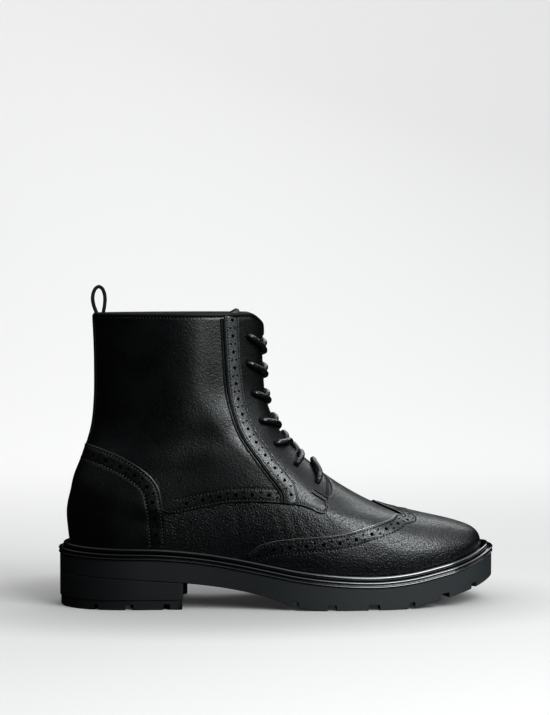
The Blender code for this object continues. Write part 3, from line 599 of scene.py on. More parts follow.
# %% Cut edges
def cut_edge(name, colour, worn, roughness, gleam):
    """Matte black with fine fibres: dyed leather rolled thin for the pipings, and painted shade in holes,
    grooves and gaps.
    """
    finish = Finish(name, Specular_IOR_Level=gleam)
    fibres = finish.noise(0.0005, 3.0)
    return finish.feed(
        Base_Color=finish.blend(fibres, colour, worn),
        Roughness=roughness + (fibres - 0.5) * 0.24,
        Normal=finish.bump(fibres, 0.00006),
    )


# The first finish paints shade: a near-black matte colour for the insides of holes, grooves and gaps.
painted_shade_black = cut_edge("painted_shade_black", (0.0009, 0.0009, 0.0009), (0.0015, 0.0015, 0.0015), 0.88, 0.0)
piping_black = cut_edge("piping_black", (0.0015, 0.0015, 0.0017), (0.0025, 0.0025, 0.0027), 0.5, 0.25)
print("finish for the punched holes:", painted_shade_black.name)

# %% [markdown]
# ## Rubber, thread, cord and cloth
#
# The sole's wall is matte moulded rubber, a little greyer than the leather, and its rim is buffed to a
# gloss. Thread and cord are round strands: their mesh has the shape, the finish adds the fibres.

# %% Rubber
def rubber(name, colour, painted_toe_light, roughness, grain, gloss=0.0):
    """Moulded rubber whose colour lightens from the heel to the toe as painted light, and which is glossier
    towards the toe too if it is buffed.
    """
    finish = Finish(name, IOR=1.52, Specular_IOR_Level=0.4, Coat_IOR=2.0, Coat_Roughness=0.10)
    fine = finish.noise(0.0006, 4.0)
    wide = finish.noise(0.035, 3.0)
    # forward rises from the heel to the toe: it lightens the colour, as painted light, and brings in the
    # gloss.
    forward = finish.node("ShaderNodeSeparateXYZ", None, {0: finish.place()}).between(-0.11, 0.09)
    return finish.feed(
        Base_Color=finish.blend(forward * (0.75 + wide * 0.5), colour, painted_toe_light),
        Roughness=roughness + (fine - 0.5) * 0.18 + (wide - 0.5) * 0.08,
        Normal=finish.bump(fine, grain),
        Coat_Weight=forward * gloss,
    )


# Each rubber's second colour is painted light towards the toe.
wall_rubber = rubber("wall_rubber", (0.0045, 0.0052, 0.0060), (0.023, 0.027, 0.029), 0.56, 0.00005)
rim_rubber = rubber("rim_rubber", (0.0025, 0.0028, 0.003), (0.006, 0.007, 0.008), 0.24, 0.00002, 1.0)
tread_rubber = rubber("tread_rubber", (0.008, 0.009, 0.010), (0.020, 0.022, 0.023), 0.66, 0.00008)


# %% Thread and cord
def strand(name, colour, light, roughness, size, coat=0.0):
    """Thread or cord, whose fibres are about this large."""
    finish = Finish(name, IOR=1.5, Coat_Weight=coat, Coat_Roughness=0.22)
    fibres = finish.noise(size, 4.0)
    return finish.feed(
        Base_Color=finish.blend(fibres, colour, light),
        Roughness=roughness + (fibres - 0.5) * 0.25,
        Normal=finish.bump(fibres, size * 0.25),
    )


thread = strand("thread", (0.016, 0.016, 0.017), (0.055, 0.056, 0.058), 0.34, 0.00025, 0.5)
dark_thread = strand("dark_thread", (0.010, 0.010, 0.011), (0.028, 0.028, 0.030), 0.45, 0.00025)
# The tacks' light grey thread is a painted highlight on them.
tack_thread_painted_highlight = strand("tack_thread_painted_highlight", (0.10, 0.11, 0.11), (0.28, 0.29, 0.29), 0.34, 0.00025, 0.5)
waxed_cord = strand("waxed_cord", (0.0012, 0.0012, 0.0014), (0.0060, 0.0062, 0.0066), 0.34, 0.00050, 0.7)


# %% Cloth
def cloth(name, colour, light, pitch, roughness=0.85, sheen=0.3):
    """A plain weave: two sets of ridges at right angles, each this far apart."""
    finish = Finish(name, Sheen_Weight=sheen, Sheen_Roughness=0.5, Specular_IOR_Level=0.3)
    bands = []
    for direction in ("X", "Z"):
        settings = {"wave_type": "BANDS", "bands_direction": direction}
        inputs = {"Vector": finish.place(), "Scale": math.tau / 20 / pitch, "Distortion": 0.4}
        bands.append(finish.node("ShaderNodeTexWave", settings, inputs, 1))
    weave = bands[0] * 0.5 + bands[1] * 0.5
    fuzz = finish.noise(pitch * 1.5, 3.0)
    return finish.feed(
        Base_Color=finish.blend(weave * 0.6 + fuzz * 0.4, colour, light),
        Roughness=roughness + (fuzz - 0.5) * 0.2,
        Normal=finish.bump(weave + fuzz * 0.5, pitch * 0.2),
    )


lining_cloth = cloth("lining_cloth", (0.020, 0.020, 0.021), (0.055, 0.054, 0.052), 0.0009)
webbing = cloth("webbing", (0.0015, 0.0015, 0.0017), (0.006, 0.006, 0.007), 0.0011, 0.7, 0.0)
print("finishes:", len(bpy.data.materials))

# %% [markdown]
# ## The studio
#
# The floor runs up into a backdrop in one smooth bend, so that no edge shows. The paper is hidden from
# glossy rays, because black leather would mirror it and turn grey. It glows a little, so that it stays
# an even pale grey beside such a dark object. A dome of sky lights everything from above, a large light
# stands before the toe, smaller ones add the sheens on the vamp and the quarter, and the heel's side
# gets almost nothing, as in the photograph. One weak light behind keeps the inner side readable.

# %% Floor and backdrop
FLOOR_REACH = 3.0
BACKDROP_START = 0.9
BACKDROP_BEND = 0.8

profile = [(-FLOOR_REACH, 0.0)]
for angle in np.linspace(0, math.pi / 2, 24):
    bend_y = BACKDROP_START + BACKDROP_BEND * math.sin(angle)
    profile.append((bend_y, BACKDROP_BEND * (1 - math.cos(angle))))
profile.append((BACKDROP_START + BACKDROP_BEND, FLOOR_REACH))
floor_points = [(x, y, z) for y, z in profile for x in (-FLOOR_REACH, FLOOR_REACH)]
floor_faces = [(2 * i, 2 * i + 1, 2 * i + 3, 2 * i + 2) for i in range(len(profile) - 1)]
floor_mesh = bpy.data.meshes.new("studio_floor")
floor_mesh.from_pydata(floor_points, [], floor_faces)
floor_mesh.shade_smooth()
floor = bpy.data.objects.new("studio_floor", floor_mesh)
bpy.context.scene.collection.objects.link(floor)
floor.visible_glossy = False
paper = Finish("studio_paper", Roughness=0.9, Specular_IOR_Level=0.0, Emission_Strength=1.0)
across, deep, high = (
    paper.node("ShaderNodeSeparateXYZ", None, {0: paper.place()}, axis) for axis in range(3)
)
off_middle = across + 0.03
# Round the boot the paper glows less: painted shadow under and beside it.
outside_painted_shadow = (off_middle * off_middle * 45 + deep * deep * 110).between(0.5, 3.0)
glow = outside_painted_shadow * 0.16 + deep.between(0.0, 1.1) * 0.220 + deep.between(-0.15, -0.6) * 0.02 + 0.026
glow += high.between(0.0, 0.6) * 0.048
# The paper's colour darkens towards the toe's side: painted shade that evens out the key light on the floor.
tint = paper.blend(across.between(-0.3, 0.6), (0.48, 0.47, 0.465), (0.385, 0.38, 0.375))
floor_mesh.materials.append(paper.feed(Base_Color=tint, Emission_Color=glow))
floor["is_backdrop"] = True


# %% Lights
def soft_light(name, size, radiance, azimuth, elevation, distance, aim):
    """A rectangle of light seen from aim at these angles: azimuth turns from the camera's side towards
    the toe. Its radiance stays the same whatever its size."""
    light = bpy.data.lights.new(name, "AREA")
    light.shape = "RECTANGLE"
    light.size, light.size_y = size
    light.energy = radiance * math.pi * size[0] * size[1]
    light.color = (0.95, 1.0, 1.0)
    turn, rise = math.radians(azimuth), math.radians(elevation)
    toward = Vector((math.sin(turn) * math.cos(rise), -math.cos(turn) * math.cos(rise), math.sin(rise)))
    held = bpy.data.objects.new(name, light)
    held.location = Vector(aim) + toward * distance
    held.rotation_euler = toward.to_track_quat("Z", "Y").to_euler()
    bpy.context.scene.collection.objects.link(held)


soft_light("key", (0.70, 0.90), 6.8, 35, 36, 1.15, (0.08, 0, 0.05))
soft_light("toe_side", (0.50, 0.50), 0.8, 84, 24, 1.1, (0.10, 0, 0.05))
soft_light("vamp_fill", (0.30, 0.30), 2.4, 6, 30, 1.15, (0.06, 0, 0.05))
soft_light("quarter_strip", (0.26, 0.90), 2.1, 17, 3, 1.6, (-0.04, 0, 0.13))
soft_light("inner_fill", (0.90, 0.70), 1.8, 158, 38, 1.5, (0.0, 0, 0.06))

# %% Sky
world = bpy.data.worlds.new("studio_air")
world.use_nodes = True
sky = world.node_tree
toward = sky.nodes.new("ShaderNodeTexCoord")
parts = sky.nodes.new("ShaderNodeSeparateXYZ")
dome = sky.nodes.new("ShaderNodeMapRange")
dome.interpolation_type = "SMOOTHSTEP"
for limit, value in {"From Min": 0.30, "From Max": 0.95, "To Min": 0.006, "To Max": 0.85}.items():
    dome.inputs[limit].default_value = value
sky.links.new(toward.outputs["Generated"], parts.inputs[0])
sky.links.new(parts.outputs["Z"], dome.inputs["Value"])
rays = sky.nodes.new("ShaderNodeLightPath")
seen = sky.nodes.new("ShaderNodeMix")
seen.inputs["B"].default_value = 0.55
sky.links.new(rays.outputs["Is Camera Ray"], seen.inputs["Factor"])
sky.links.new(dome.outputs[0], seen.inputs["A"])
sky.links.new(seen.outputs[0], sky.nodes["Background"].inputs["Strength"])
sky.nodes["Background"].inputs["Color"].default_value = (0.95, 0.98, 1.0, 1.0)
bpy.context.scene.world = world
bpy.context.scene.view_settings.view_transform = "Standard"
bpy.context.scene.view_settings.look = "Medium High Contrast"
print("lights:", len(bpy.data.lights))

# %% [markdown]
# ## Panels cut like leather
#
# A boolean would punch hundreds of holes slowly and roughly. Instead each panel is cut flat, as a
# clicker cuts it: its outline, its punched holes and a lattice of points go through a constrained
# triangulation, the triangles inside the holes are dropped, and the flat piece is laid on the last and
# given its thickness. The cut edge is eased a little, because that is what catches the light.

# %% Meshes
EASED_EDGE = 0.00035  # how far in from its cut edge a panel reaches full thickness
EDGE_SHARE = 0.5      # the thickness left at the cut edge itself
EDGE_LOSS = 0.0008    # the most thickness that the easing works on
STITCH_DIP = 0.00022  # how deep a row of stitches pulls the leather in
DIP_HALF = 0.0006     # and how far to each side
# The height of each layer's underside and top over the last.
LINING_LIFT = (-0.0022, -0.00105)
VAMP_LIFT = (-0.0010, 0.0)
QUARTER_LIFT = (-0.0010, 0.0011)
STRIP_LIFT = (0.00112, 0.0021)
OVERLAY_LIFT = (0.00003, 0.0014)


def add_piece(name, mesh, finish, slot, *replaced):
    """Puts a mesh in the scene as a piece of the boot, which may stand for some of the solids."""
    made = bpy.data.objects.new(name, mesh)
    bpy.context.scene.collection.objects.link(made)
    mesh.materials.append(finish)
    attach(made, "root")
    if replaced:
        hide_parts(*replaced)
    return made


def smooth_mesh(name, points, faces, sharp=40):
    """A mesh of these faces, smooth except over edges that turn more than this many degrees."""
    mesh = bpy.data.meshes.new(name)
    mesh.from_pydata(np.asarray(points, float).tolist(), [], [tuple(map(int, face)) for face in faces])
    mesh.shade_smooth()
    mesh.set_sharp_from_angle(angle=math.radians(sharp))
    return mesh


def banded(rows, closed=False):
    """Faces between rows of points that each go once round; closed joins the last row to the first."""
    count = len(rows[0])
    total = len(rows)
    return [
        (r * count + i, r * count + (i + 1) % count,
         (r + 1) % total * count + (i + 1) % count, (r + 1) % total * count + i)
        for r in range(total if closed else total - 1) for i in range(count)
    ]


def tube_faces(rows):
    """The faces of a tube through rows of points, with a cap on both ends."""
    count, total = len(rows[0]), len(rows)
    return banded(rows) + [tuple(range(count))[::-1], tuple(range((total - 1) * count, total * count))]


def nearest(points, others):
    """The distance from each point to the nearest of the others, a thousand points at a time."""
    found = np.full(len(points), np.inf)
    for start in range(0, len(points), 1000):
        part = points[start:start + 1000]
        gap = ((part[:, None] - others[None]) ** 2).sum(axis=2)
        found[start:start + 1000] = np.sqrt(gap.min(axis=1))
    return found


def inside(points, loop):
    """Which flat points lie inside a closed loop, by counting crossings."""
    crossings = np.zeros(len(points), int)
    for (ax, ay), (bx, by) in zip(loop, np.roll(loop, -1, axis=0)):
        spans = (ay > points[:, 1]) != (by > points[:, 1])
        if ay != by:
            crossings += spans & (points[:, 0] < (bx - ax) * (points[:, 1] - ay) / (by - ay) + ax)
    return crossings % 2 == 1


# %% [markdown]
# ## Soft creases
#
# Leather that has been lasted and walked in has soft troughs. A simulation would put them anywhere, so
# each is placed one by one: where it lies in the side view, which way it runs, how long, how wide and how
# deep. They are gentle, because the photograph shows a new boot, but they break up highlights that
# would look like plastic.

# %% Creases
CREASE_COLUMNS = ("along", "up", "turn", "half_length", "width", "depth")
CREASES = (
    (0.560, 0.105, -62, 0.017, 0.0024, 0.00012),
    (0.532, 0.110, -68, 0.018, 0.0028, 0.00013),
    (0.500, 0.118, -74, 0.016, 0.0026, 0.00012),
    (0.600, 0.150, -55, 0.014, 0.0022, 0.00012),
    (0.640, 0.180, -52, 0.012, 0.0024, 0.00010),
    (0.400, 0.125, -84, 0.012, 0.0026, 0.00022),
    (0.300, 0.470, 8, 0.040, 0.0090, 0.00070),
    (0.330, 0.640, 84, 0.036, 0.0100, 0.00040),
    (0.250, 0.330, 24, 0.030, 0.0075, 0.00045),
)


def relief(points):
    """How far the leather sinks or swells at places on the last."""
    base = surface(points[..., 0], points[..., 1])
    total = np.zeros(base.shape[:-1])
    for row in CREASES:
        crease = dict(zip(CREASE_COLUMNS, row))
        turn = math.radians(crease["turn"])
        dx = base[..., 0] - along(crease["along"])
        dz = base[..., 2] - (SOLE_HEIGHT + crease["up"] * UPPER_HEIGHT)
        run = dx * math.cos(turn) + dz * math.sin(turn)
        off = dz * math.cos(turn) - dx * math.sin(turn)
        wave = np.exp(-((off / crease["width"]) ** 2)) - 0.5 * np.exp(-((off / crease["width"] / 2) ** 2))
        total -= 2 * crease["depth"] * wave * ramp(1 - np.abs(run) / crease["half_length"], 0, 1)
    return total


# %% Outlines and holes
def loop_of(*lines):
    """A closed loop of (u, v) from lines joined end to end, counter-clockwise seen from outside."""
    loop = np.array([place for line in lines for place in (line[:-1] if len(line) > 2 else line)])
    loop = loop[np.linalg.norm(surface(*loop.T) - surface(*np.roll(loop, -1, axis=0).T), axis=1) > 1e-5]
    ahead = np.roll(loop, -1, axis=0)
    area = (loop[:, 0] * ahead[:, 1] - loop[:, 1] * ahead[:, 0]).sum()
    return loop if area > 0 else loop[::-1]


def ring_of(centre, radius, count):
    """A round hole's edge laid on the last."""
    centre = np.array(centre, float)[None]
    across, _ = slopes(centre)
    first = across[0] / np.linalg.norm(across[0])
    second = np.cross(read_grid(NORMALS, *centre.T)[0], first)
    angles = np.linspace(0, math.tau, count, endpoint=False)[:, None]
    moves = radius * (np.cos(angles) * first + np.sin(angles) * second)
    return stepped(np.repeat(centre, count, axis=0), moves)


def other_holes(holes, middle=BACK):
    """The same holes on the inner side, mirrored about the back seam or the front."""
    return [((2 * middle - place[0], place[1]), radius, sides) for place, radius, sides in holes]


def lattice(low, high, spacing):
    """Points of a triangular lattice over a flat box."""
    rows = np.arange(low[1], high[1], spacing * math.sqrt(3) / 2)
    return np.array([
        (x, y) for number, y in enumerate(rows)
        for x in np.arange(low[0] + (number % 2) * spacing / 2, high[0], spacing)
    ])


# %% A panel's points
def panel_points(loop, rings, holes, rows, spacing, middle, flat):
    """The points of a panel and how far each dips: its outline and holes, a line inside the outline
    where the easing ends, three lines along each stitch row, and a lattice that fills what is left."""
    box = (loop - middle) * flat
    groups = [(line, 0.0) for line in (loop, *rings)]
    taken = [surface(*line.T) for line in (loop, *rings)]
    centres = surface(*np.array([hole[0] for hole in holes]).reshape(-1, 2).T)

    def add(points, gap, dip=0.0):
        """Adds those points that are in the outline, out of the holes and this far from the others."""
        points = points[inside((points - middle) * flat, box)]
        places = surface(*points.T)
        keep = nearest(places, np.concatenate(taken)) > gap
        for centre, hole in zip(centres, holes):
            keep &= np.linalg.norm(places - centre, axis=1) > hole[1]
        groups.append((points[keep], dip))
        taken.append(places[keep])

    add(shifted(loop, EASED_EDGE, 1), EASED_EDGE * 0.6)
    for row in rows:
        for offset, dip in ((0.0, STITCH_DIP), (DIP_HALF, 0.0), (-DIP_HALF, 0.0)):
            add(shifted(resampled(row, 0.0009), offset, 1), DIP_HALF / 2, dip)
    add(lattice(box.min(axis=0), box.max(axis=0), spacing * 1000) / flat + middle, spacing * 0.45)
    points = np.concatenate([group for group, _ in groups])
    return points, np.concatenate([np.full(len(group), dip) for group, dip in groups])


# %% A panel's faces
def cut_flat(plane, loops):
    """Triangles between flat points, inside the first loop and outside the others, whose points come
    first in this order. Gives the laid points, the triangles, and which given point each one is."""
    edges = []
    owner = np.full(len(plane), -1)
    start = 0
    for number, loop in enumerate(loops):
        size = len(loop)
        edges += [(start + i, start + (i + 1) % size) for i in range(size)]
        owner[start:start + size] = number
        start += size
    laid, _, faces, origin, _, _ = delaunay_2d_cdt([Vector(p) for p in plane], edges, [], 0, 1e-5)
    laid, faces = np.array(laid), np.array(faces)
    given = np.array([found[0] if found else -1 for found in origin])
    owners = owner[given[faces]]
    in_hole = (owners[:, 0] > 0) & (owners[:, 0] == owners[:, 1]) & (owners[:, 1] == owners[:, 2])
    faces = faces[~in_hole]
    faces = faces[inside(laid[faces].mean(axis=1), plane[:len(loops[0])])]
    corners = laid[faces]
    turn = np.cross(corners[:, 1] - corners[:, 0], corners[:, 2] - corners[:, 0])
    return laid, np.where(turn[:, None] > 0, faces, faces[:, ::-1]), given


def thickened(tops, unders, faces):
    """A closed skin over two matching sheets, with a wall along every edge that only one face has."""
    walls = {}
    for a, b, c in faces.tolist():
        for ends in ((a, b), (b, c), (c, a)):
            if walls.pop(ends[::-1], None) is None:
                walls[ends] = True
    size = len(tops)
    skin = [*faces.tolist(), *(faces[:, ::-1] + size).tolist()]
    return np.concatenate([tops, unders]), skin + [(b, a, a + size, b + size) for a, b in walls]


# %% Panels
def panel(name, loop, finish, lift, slot="black_leather", holes=(), rows=(), spacing=0.0017, replaced=()):
    """A leather panel inside a loop of (u, v). lift gives the inner and the outer height over the last,
    each a number or a function of (u, v). holes are (centre, radius, sides); rows are stitch lines."""
    middle = (loop.min(axis=0) + loop.max(axis=0)) / 2
    flat = 1000 * np.array([np.linalg.norm(slope) for slope in slopes(middle[None])])
    rings = [ring_of(*hole) for hole in holes]
    points, dips = panel_points(loop, rings, holes, rows, spacing, middle, flat)
    laid, faces, given = cut_flat((points - middle) * flat, [loop, *rings])
    places = laid / flat + middle
    inner, outer = (level(places) if callable(level) else np.full(len(places), level) for level in lift)
    eased = (given >= 0) & (given < len(loop))
    outer = outer - dips[given] - eased * (1 - EDGE_SHARE) * np.minimum(outer - inner, EDGE_LOSS)
    folds = relief(places)
    points, skin = thickened(surface(*places.T, outer + folds), surface(*places.T, inner + folds), faces)
    print(f"{name}: {len(skin)} faces, {len(holes)} holes")
    return add_piece(name, smooth_mesh(name, points, skin, 50), finish, slot, *replaced)


# %% [markdown]
# ## Stitches
#
# A lockstitch shows as short raised bars whose ends dive into the leather. One bar is modelled once, as
# a bent capsule, and repeated along a line: each copy turns with the line and the surface.

# %% Stitches
STITCH_PITCH = 0.0022
STITCH_LENGTH = 0.0013
STITCH_RADIUS = 0.00025
# Each needle hole is a matte black capsule: painted shade.
NEEDLE_HOLE_SHADE = (0.0009, 0.00045)  # its length and its radius


def capsule(length, radius, sides=6, rings=5):
    """A bent bar's points and faces, lying along x."""
    rows = []
    for s in np.linspace(-1, 1, rings):
        thick = radius * (1 - 0.65 * abs(s) ** 3)
        sink = -radius * 1.3 * s * s
        angles = np.linspace(0, math.tau, sides, endpoint=False)
        rows.append([(s * length / 2, thick * math.cos(a), sink + thick * math.sin(a)) for a in angles])
    return np.array(rows).reshape(-1, 3), tube_faces(rows)


def repeated(template, faces, places, ahead, out):
    """Copies of a template at each place, its x along ahead and its z along out."""
    ahead = ahead / np.linalg.norm(ahead, axis=1, keepdims=True)
    side = np.cross(out, ahead)
    side /= np.linalg.norm(side, axis=1, keepdims=True)
    out = np.cross(ahead, side)
    turned = (
        template[None, :, :1] * ahead[:, None] + template[None, :, 1:2] * side[:, None]
        + template[None, :, 2:] * out[:, None]
    )
    starts = range(0, len(template) * len(places), len(template))
    copies = [tuple(corner + start for corner in face) for start in starts for face in faces]
    return (places[:, None] + turned).reshape(-1, 3), copies


def stitch_row(line, lift, pitch=STITCH_PITCH):
    """Places, directions and normals along a line of (u, v), twice to a stitch: one for its thread, one
    for the painted shade of the needle's hole between it and the next."""
    line = resampled(line, pitch / 2)
    height = lift(line) if callable(lift) else lift
    places = surface(*line.T, height + relief(line) - STITCH_DIP + STITCH_RADIUS)
    return places, np.gradient(places, axis=0), read_grid(NORMALS, *line.T)


def sew(name, rows, finish=thread, length=STITCH_LENGTH, holes=True):
    """One joined mesh of all the stitches in some rows, and one of dark marks between them, painted shade in
    the needle holes.
    """
    kinds = [(0, "", length, STITCH_RADIUS, finish), (1, "_holes", *NEEDLE_HOLE_SHADE, painted_shade_black)]
    for first, kind, size, radius, look in kinds[:2 if holes else 1]:
        found = [[values[first::2] for values in row] for row in rows]
        places, ahead, out = (np.concatenate(values) for values in zip(*found))
        points, copies = repeated(*capsule(size, radius), places, ahead, out)
        add_piece(name + kind, smooth_mesh(name + kind, points, copies, 80), look, "black_leather")
    print(f"{name}: {len(places)} stitches")


# %% [markdown]
# ## Broguing
#
# The punched pattern is one large hole, then a pair of small ones set across the band, and again. The
# row follows a line at an even pitch, so it works out the same on every panel.

# %% Broguing
BROGUE_PITCH = 0.0105
LARGE_HOLE = 0.00118
SMALL_HOLE = 0.00072
PAIR_SPREAD = 0.00155
# The black disc in each punched hole is painted shade; the next value is how far it lies above what carries
# the panel.
HOLE_SHADE_UP = 0.0002  # how far the black backing lies above what carries the panel


def brogue(line, pitch=BROGUE_PITCH, large=LARGE_HOLE, start=0.5):
    """The holes along a line: a large one, then a small pair half a pitch on."""
    length = line_length(line)
    found = []
    for number in range(int((length[-1] / pitch - start) * 2) + 1):
        at = (start + number / 2) * pitch
        if at > length[-1] - 0.25 * pitch:
            break
        place = np.array([np.interp(at, length, line[:, i]) for i in range(2)])
        if number % 2 == 0:
            found.append((place, large, 12))
            continue
        ahead = np.array([np.interp(at + 0.0005, length, line[:, i]) for i in range(2)])
        run = surface(*ahead[:, None])[0] - surface(*place[:, None])[0]
        across = np.cross(read_grid(NORMALS, *place[:, None])[0], run)
        across *= PAIR_SPREAD / np.linalg.norm(across)
        for sign in (-1, 1):
            found.append((stepped(place[None], sign * across[None])[0], SMALL_HOLE, 8))
    return found


def paint_hole_shade(name, holes, lift):
    """A matte black disc low down in each punched hole: painted shade over what lies beneath it."""
    angles = np.linspace(0, math.tau, 12, endpoint=False)
    disc = np.column_stack([np.cos(angles), np.sin(angles), 0 * angles])
    line = np.array([hole[0] for hole in holes])
    size = np.array([hole[1] for hole in holes])
    centres = surface(*line.T, (lift(line) if callable(lift) else lift) + relief(line))
    points, copies = repeated(disc, [tuple(range(12))], centres, slopes(line)[0], read_grid(NORMALS, *line.T))
    centres = np.repeat(centres, 12, axis=0)
    points = centres + (points - centres) * 0.98 * np.repeat(size, 12)[:, None]
    add_piece(name, smooth_mesh(name, points, copies, 80), painted_shade_black, "black_leather")


print("stitch pitch", STITCH_PITCH * 1000, "mm; brogue pitch", BROGUE_PITCH * 1000, "mm")

# %% [markdown]
# ## The lining and the vamp
#
# Inside, one dark lining follows the whole last and ends at the topline. Outside, the vamp covers the
# foot and runs up under the quarters. Both leave the throat open for the tongue.

# %% Lines that several panels share
PANEL_FOOT = 0.012      # how far above the welt the laid-on pieces end, as a share of the height
THROAT_HALF = THROAT_GAP / 2
TURNED_IN = 0.010       # how far one panel runs under the next
throat_level = front_level(THROAT)


def throat_edge(low, high, gap=THROAT_HALF):
    """The facing's front edge on the outer side between two levels."""
    levels = np.linspace(low, high, 60)
    return np.array([(0.5 - gap / girth(v), v) for v in levels])


collar_corner = edge(COLLAR_CORNER, 0.0008)
collar_corner = collar_corner[collar_corner[:, 1] <= 1.0]
facing = throat_edge(throat_level + 0.012, 0.93)
topline = np.linspace((BACK, 1.0), (collar_corner[0, 0], 1.0), 120)
upper_edge = resampled(np.concatenate([topline, collar_corner, facing[::-1]]), 0.0010)
print("topline to throat:", round(line_length(upper_edge)[-1] * 1000), "mm")

# %% Lining
foot_line = np.linspace((BACK, 0.0), (FRONT, 0.0), 400)
front_line = np.linspace((FRONT, 0.0), (FRONT, throat_level), 40)
outer_lining = np.concatenate([foot_line, front_line[1:], upper_edge[::-1]])
back_seam = np.linspace((BACK, 1.0), (BACK, 0.0), 150)
lining_loop = loop_of(outer_lining, back_seam)
linings = (("outer", lining_loop, ["upper"]), ("inner", loop_of(other_side(lining_loop)), []))
for name, loop, solids in linings:
    panel(f"lining_{name}", loop, lining_cloth, LINING_LIFT, "dark_lining", spacing=0.0032, replaced=solids)

# %% Vamp
quarter_low = edge(QUARTER_LOW, 0.0010)
hidden_low = np.linspace((BACK, 0.30), quarter_low[0], 40)
low_edge = np.concatenate([hidden_low[:-1], quarter_low])
vamp_top = shifted(low_edge[20:], TURNED_IN - 0.001)
vamp_top = resampled(np.concatenate([vamp_top, [(FRONT, throat_level + 0.02)]]), 0.0012)
vamp_start = vamp_top[0, 0]
vamp_foot = np.linspace((vamp_start, 0.0), (1 - vamp_start, 0.0), 700)
vamp_back = np.linspace(vamp_top[0], (vamp_start, 0.0), 20)
vamp_loop = loop_of(
    vamp_back, vamp_foot, other_side(vamp_back, FRONT)[::-1], other_side(vamp_top, FRONT), vamp_top[::-1],
)
panel("vamp", vamp_loop, vamp_leather, VAMP_LIFT, spacing=0.0018)

# %% [markdown]
# ## The quarters
#
# The quarters carry the eyelets and a brogued band along their lower edge. Where they lie on the vamp
# their underside is just above it, and higher up it reaches down to the lining, so that the topline and
# the facing show one solid edge. Each eyelet is a plain punched hole, with no metal.

# %% Quarters
def above_low_edge(points):
    """The height above the quarters' lower edge, in metres."""
    u = np.abs(points[..., 0])
    return (points[..., 1] - np.interp(u, low_edge[:, 0], low_edge[:, 1])) * UPPER_HEIGHT


def quarter_under(points):
    """On the vamp near the lower edge, and down to the lining above it."""
    deep = ramp(above_low_edge(points), TURNED_IN, TURNED_IN + 0.003)
    return 0.00003 + (QUARTER_LIFT[0] - 0.00003) * deep


def on_quarters(points):
    """Rises from 0 on the vamp to 1 on the quarters."""
    return ramp(above_low_edge(points), -0.012, 0.003)


tab_front = edge(TAB_FRONT, 0.0008)
back_edge = np.linspace((BACK, 1.0), (BACK, low_edge[0, 1]), 100)
front_edge = np.concatenate([tab_front, facing[facing[:, 1] > tab_front[-1, 1] + 0.01]])
corner_line = resampled(np.concatenate([[front_edge[-1]], collar_corner[::-1]]), 0.0008)
quarter_loop = loop_of(low_edge, front_edge, corner_line, topline[::-1], back_edge)
eyelets = [on_last(place) for place in EYELETS]
band_end = on_last(STRIP_REAR[-1])[0] - 0.004
band = quarter_low[quarter_low[:, 0] < band_end][6:]
quarter_rows = [
    shifted(quarter_low[3:], 0.0016),
    shifted(band, 0.0086),
    shifted(topline[1:], -0.0023),
    shifted(front_edge[2:], 0.0015),
]
band_holes = brogue(shifted(band, 0.0049))
quarter_holes = [(place, EYELET_DIAMETER / 2, 16) for place in eyelets] + band_holes
panel(
    "quarter_outer", quarter_loop, upper_leather, (quarter_under, QUARTER_LIFT[1]),
    holes=quarter_holes, rows=quarter_rows,
)
panel(
    "quarter_inner", loop_of(other_side(quarter_loop)), upper_leather, (quarter_under, QUARTER_LIFT[1]),
    holes=other_holes(quarter_holes), rows=[other_side(row) for row in quarter_rows],
)

# %% [markdown]
# ## The brogued strip beside the eyelets
#
# A narrow strip is laid on each quarter, behind the eyelets. It is raised, so its edges are real steps.
# A black piping runs along its rear edge, which is the bold dark line of the photograph.

# %% Facing strips
strip_rear = edge([(0.368, 0.995), *STRIP_REAR[1:]])
strip_front = edge([(0.402, 0.995), *STRIP_FRONT[1:]])
strip_loop = loop_of(strip_rear, np.array([strip_rear[-1], strip_front[-1]]), strip_front[::-1])
matched = resampled(strip_front, line_length(strip_front)[-1] / (len(strip_rear) - 1))
strip_middle = (strip_rear + matched[:len(strip_rear)]) / 2
strip_rows = [shifted(strip_front, -0.0012), shifted(strip_rear, 0.0013)]
strip_holes = brogue(strip_middle, 0.0101, 0.00105, start=0.3)
for side, name in ((1, "outer"), (-1, "inner")):
    turned = np.array([side, 1])
    panel(
        f"facing_strip_{name}_piece", loop_of(strip_loop * turned), strip_leather_with_painted_sheen, STRIP_LIFT,
        holes=[(place * turned, radius, sides) for place, radius, sides in strip_holes],
        rows=[row * turned for row in strip_rows], spacing=0.0013, replaced=[f"facing_strip_{name}"],
    )

# %% [markdown]
# ## The heel counter and the wing cap
#
# Both are laid over the vamp, and the counter covers the quarters' lower edge too, so its height rises
# there. The wing cap sweeps up from the welt and runs back to a point in the middle of the vamp.

# %% Heel counter
def counter_under(points):
    return OVERLAY_LIFT[0] + (QUARTER_LIFT[1] + 0.00004 - OVERLAY_LIFT[0]) * on_quarters(points)


def counter_over(points):
    return counter_under(points) + 0.0011


counter_edge = edge(COUNTER_EDGE, 0.0010, start=[(0.0, COUNTER_BACK)])
counter_edge[:, 1] = np.maximum(counter_edge[:, 1], PANEL_FOOT)
counter_end = counter_edge[-1, 0]
counter_foot = np.linspace((counter_end, PANEL_FOOT), (-counter_end, PANEL_FOOT), 160)
counter_loop = loop_of(other_side(counter_edge)[::-1], counter_edge, counter_foot)
counter_lines = [shifted(counter_edge, -distance) for distance in (0.0019, 0.0060, 0.0100)]
counter_lines = [line[(line[:, 0] > 0.004) & (line[:, 1] > PANEL_FOOT + 0.006)] for line in counter_lines]
counter_holes = brogue(counter_lines[1])
counter_rows = [counter_lines[0], counter_lines[2]]
panel(
    "heel_counter_piece", counter_loop, counter_leather, (counter_under, counter_over),
    holes=counter_holes + other_holes(counter_holes),
    rows=counter_rows + [other_side(row) for row in counter_rows], replaced=["heel_counter"],
)

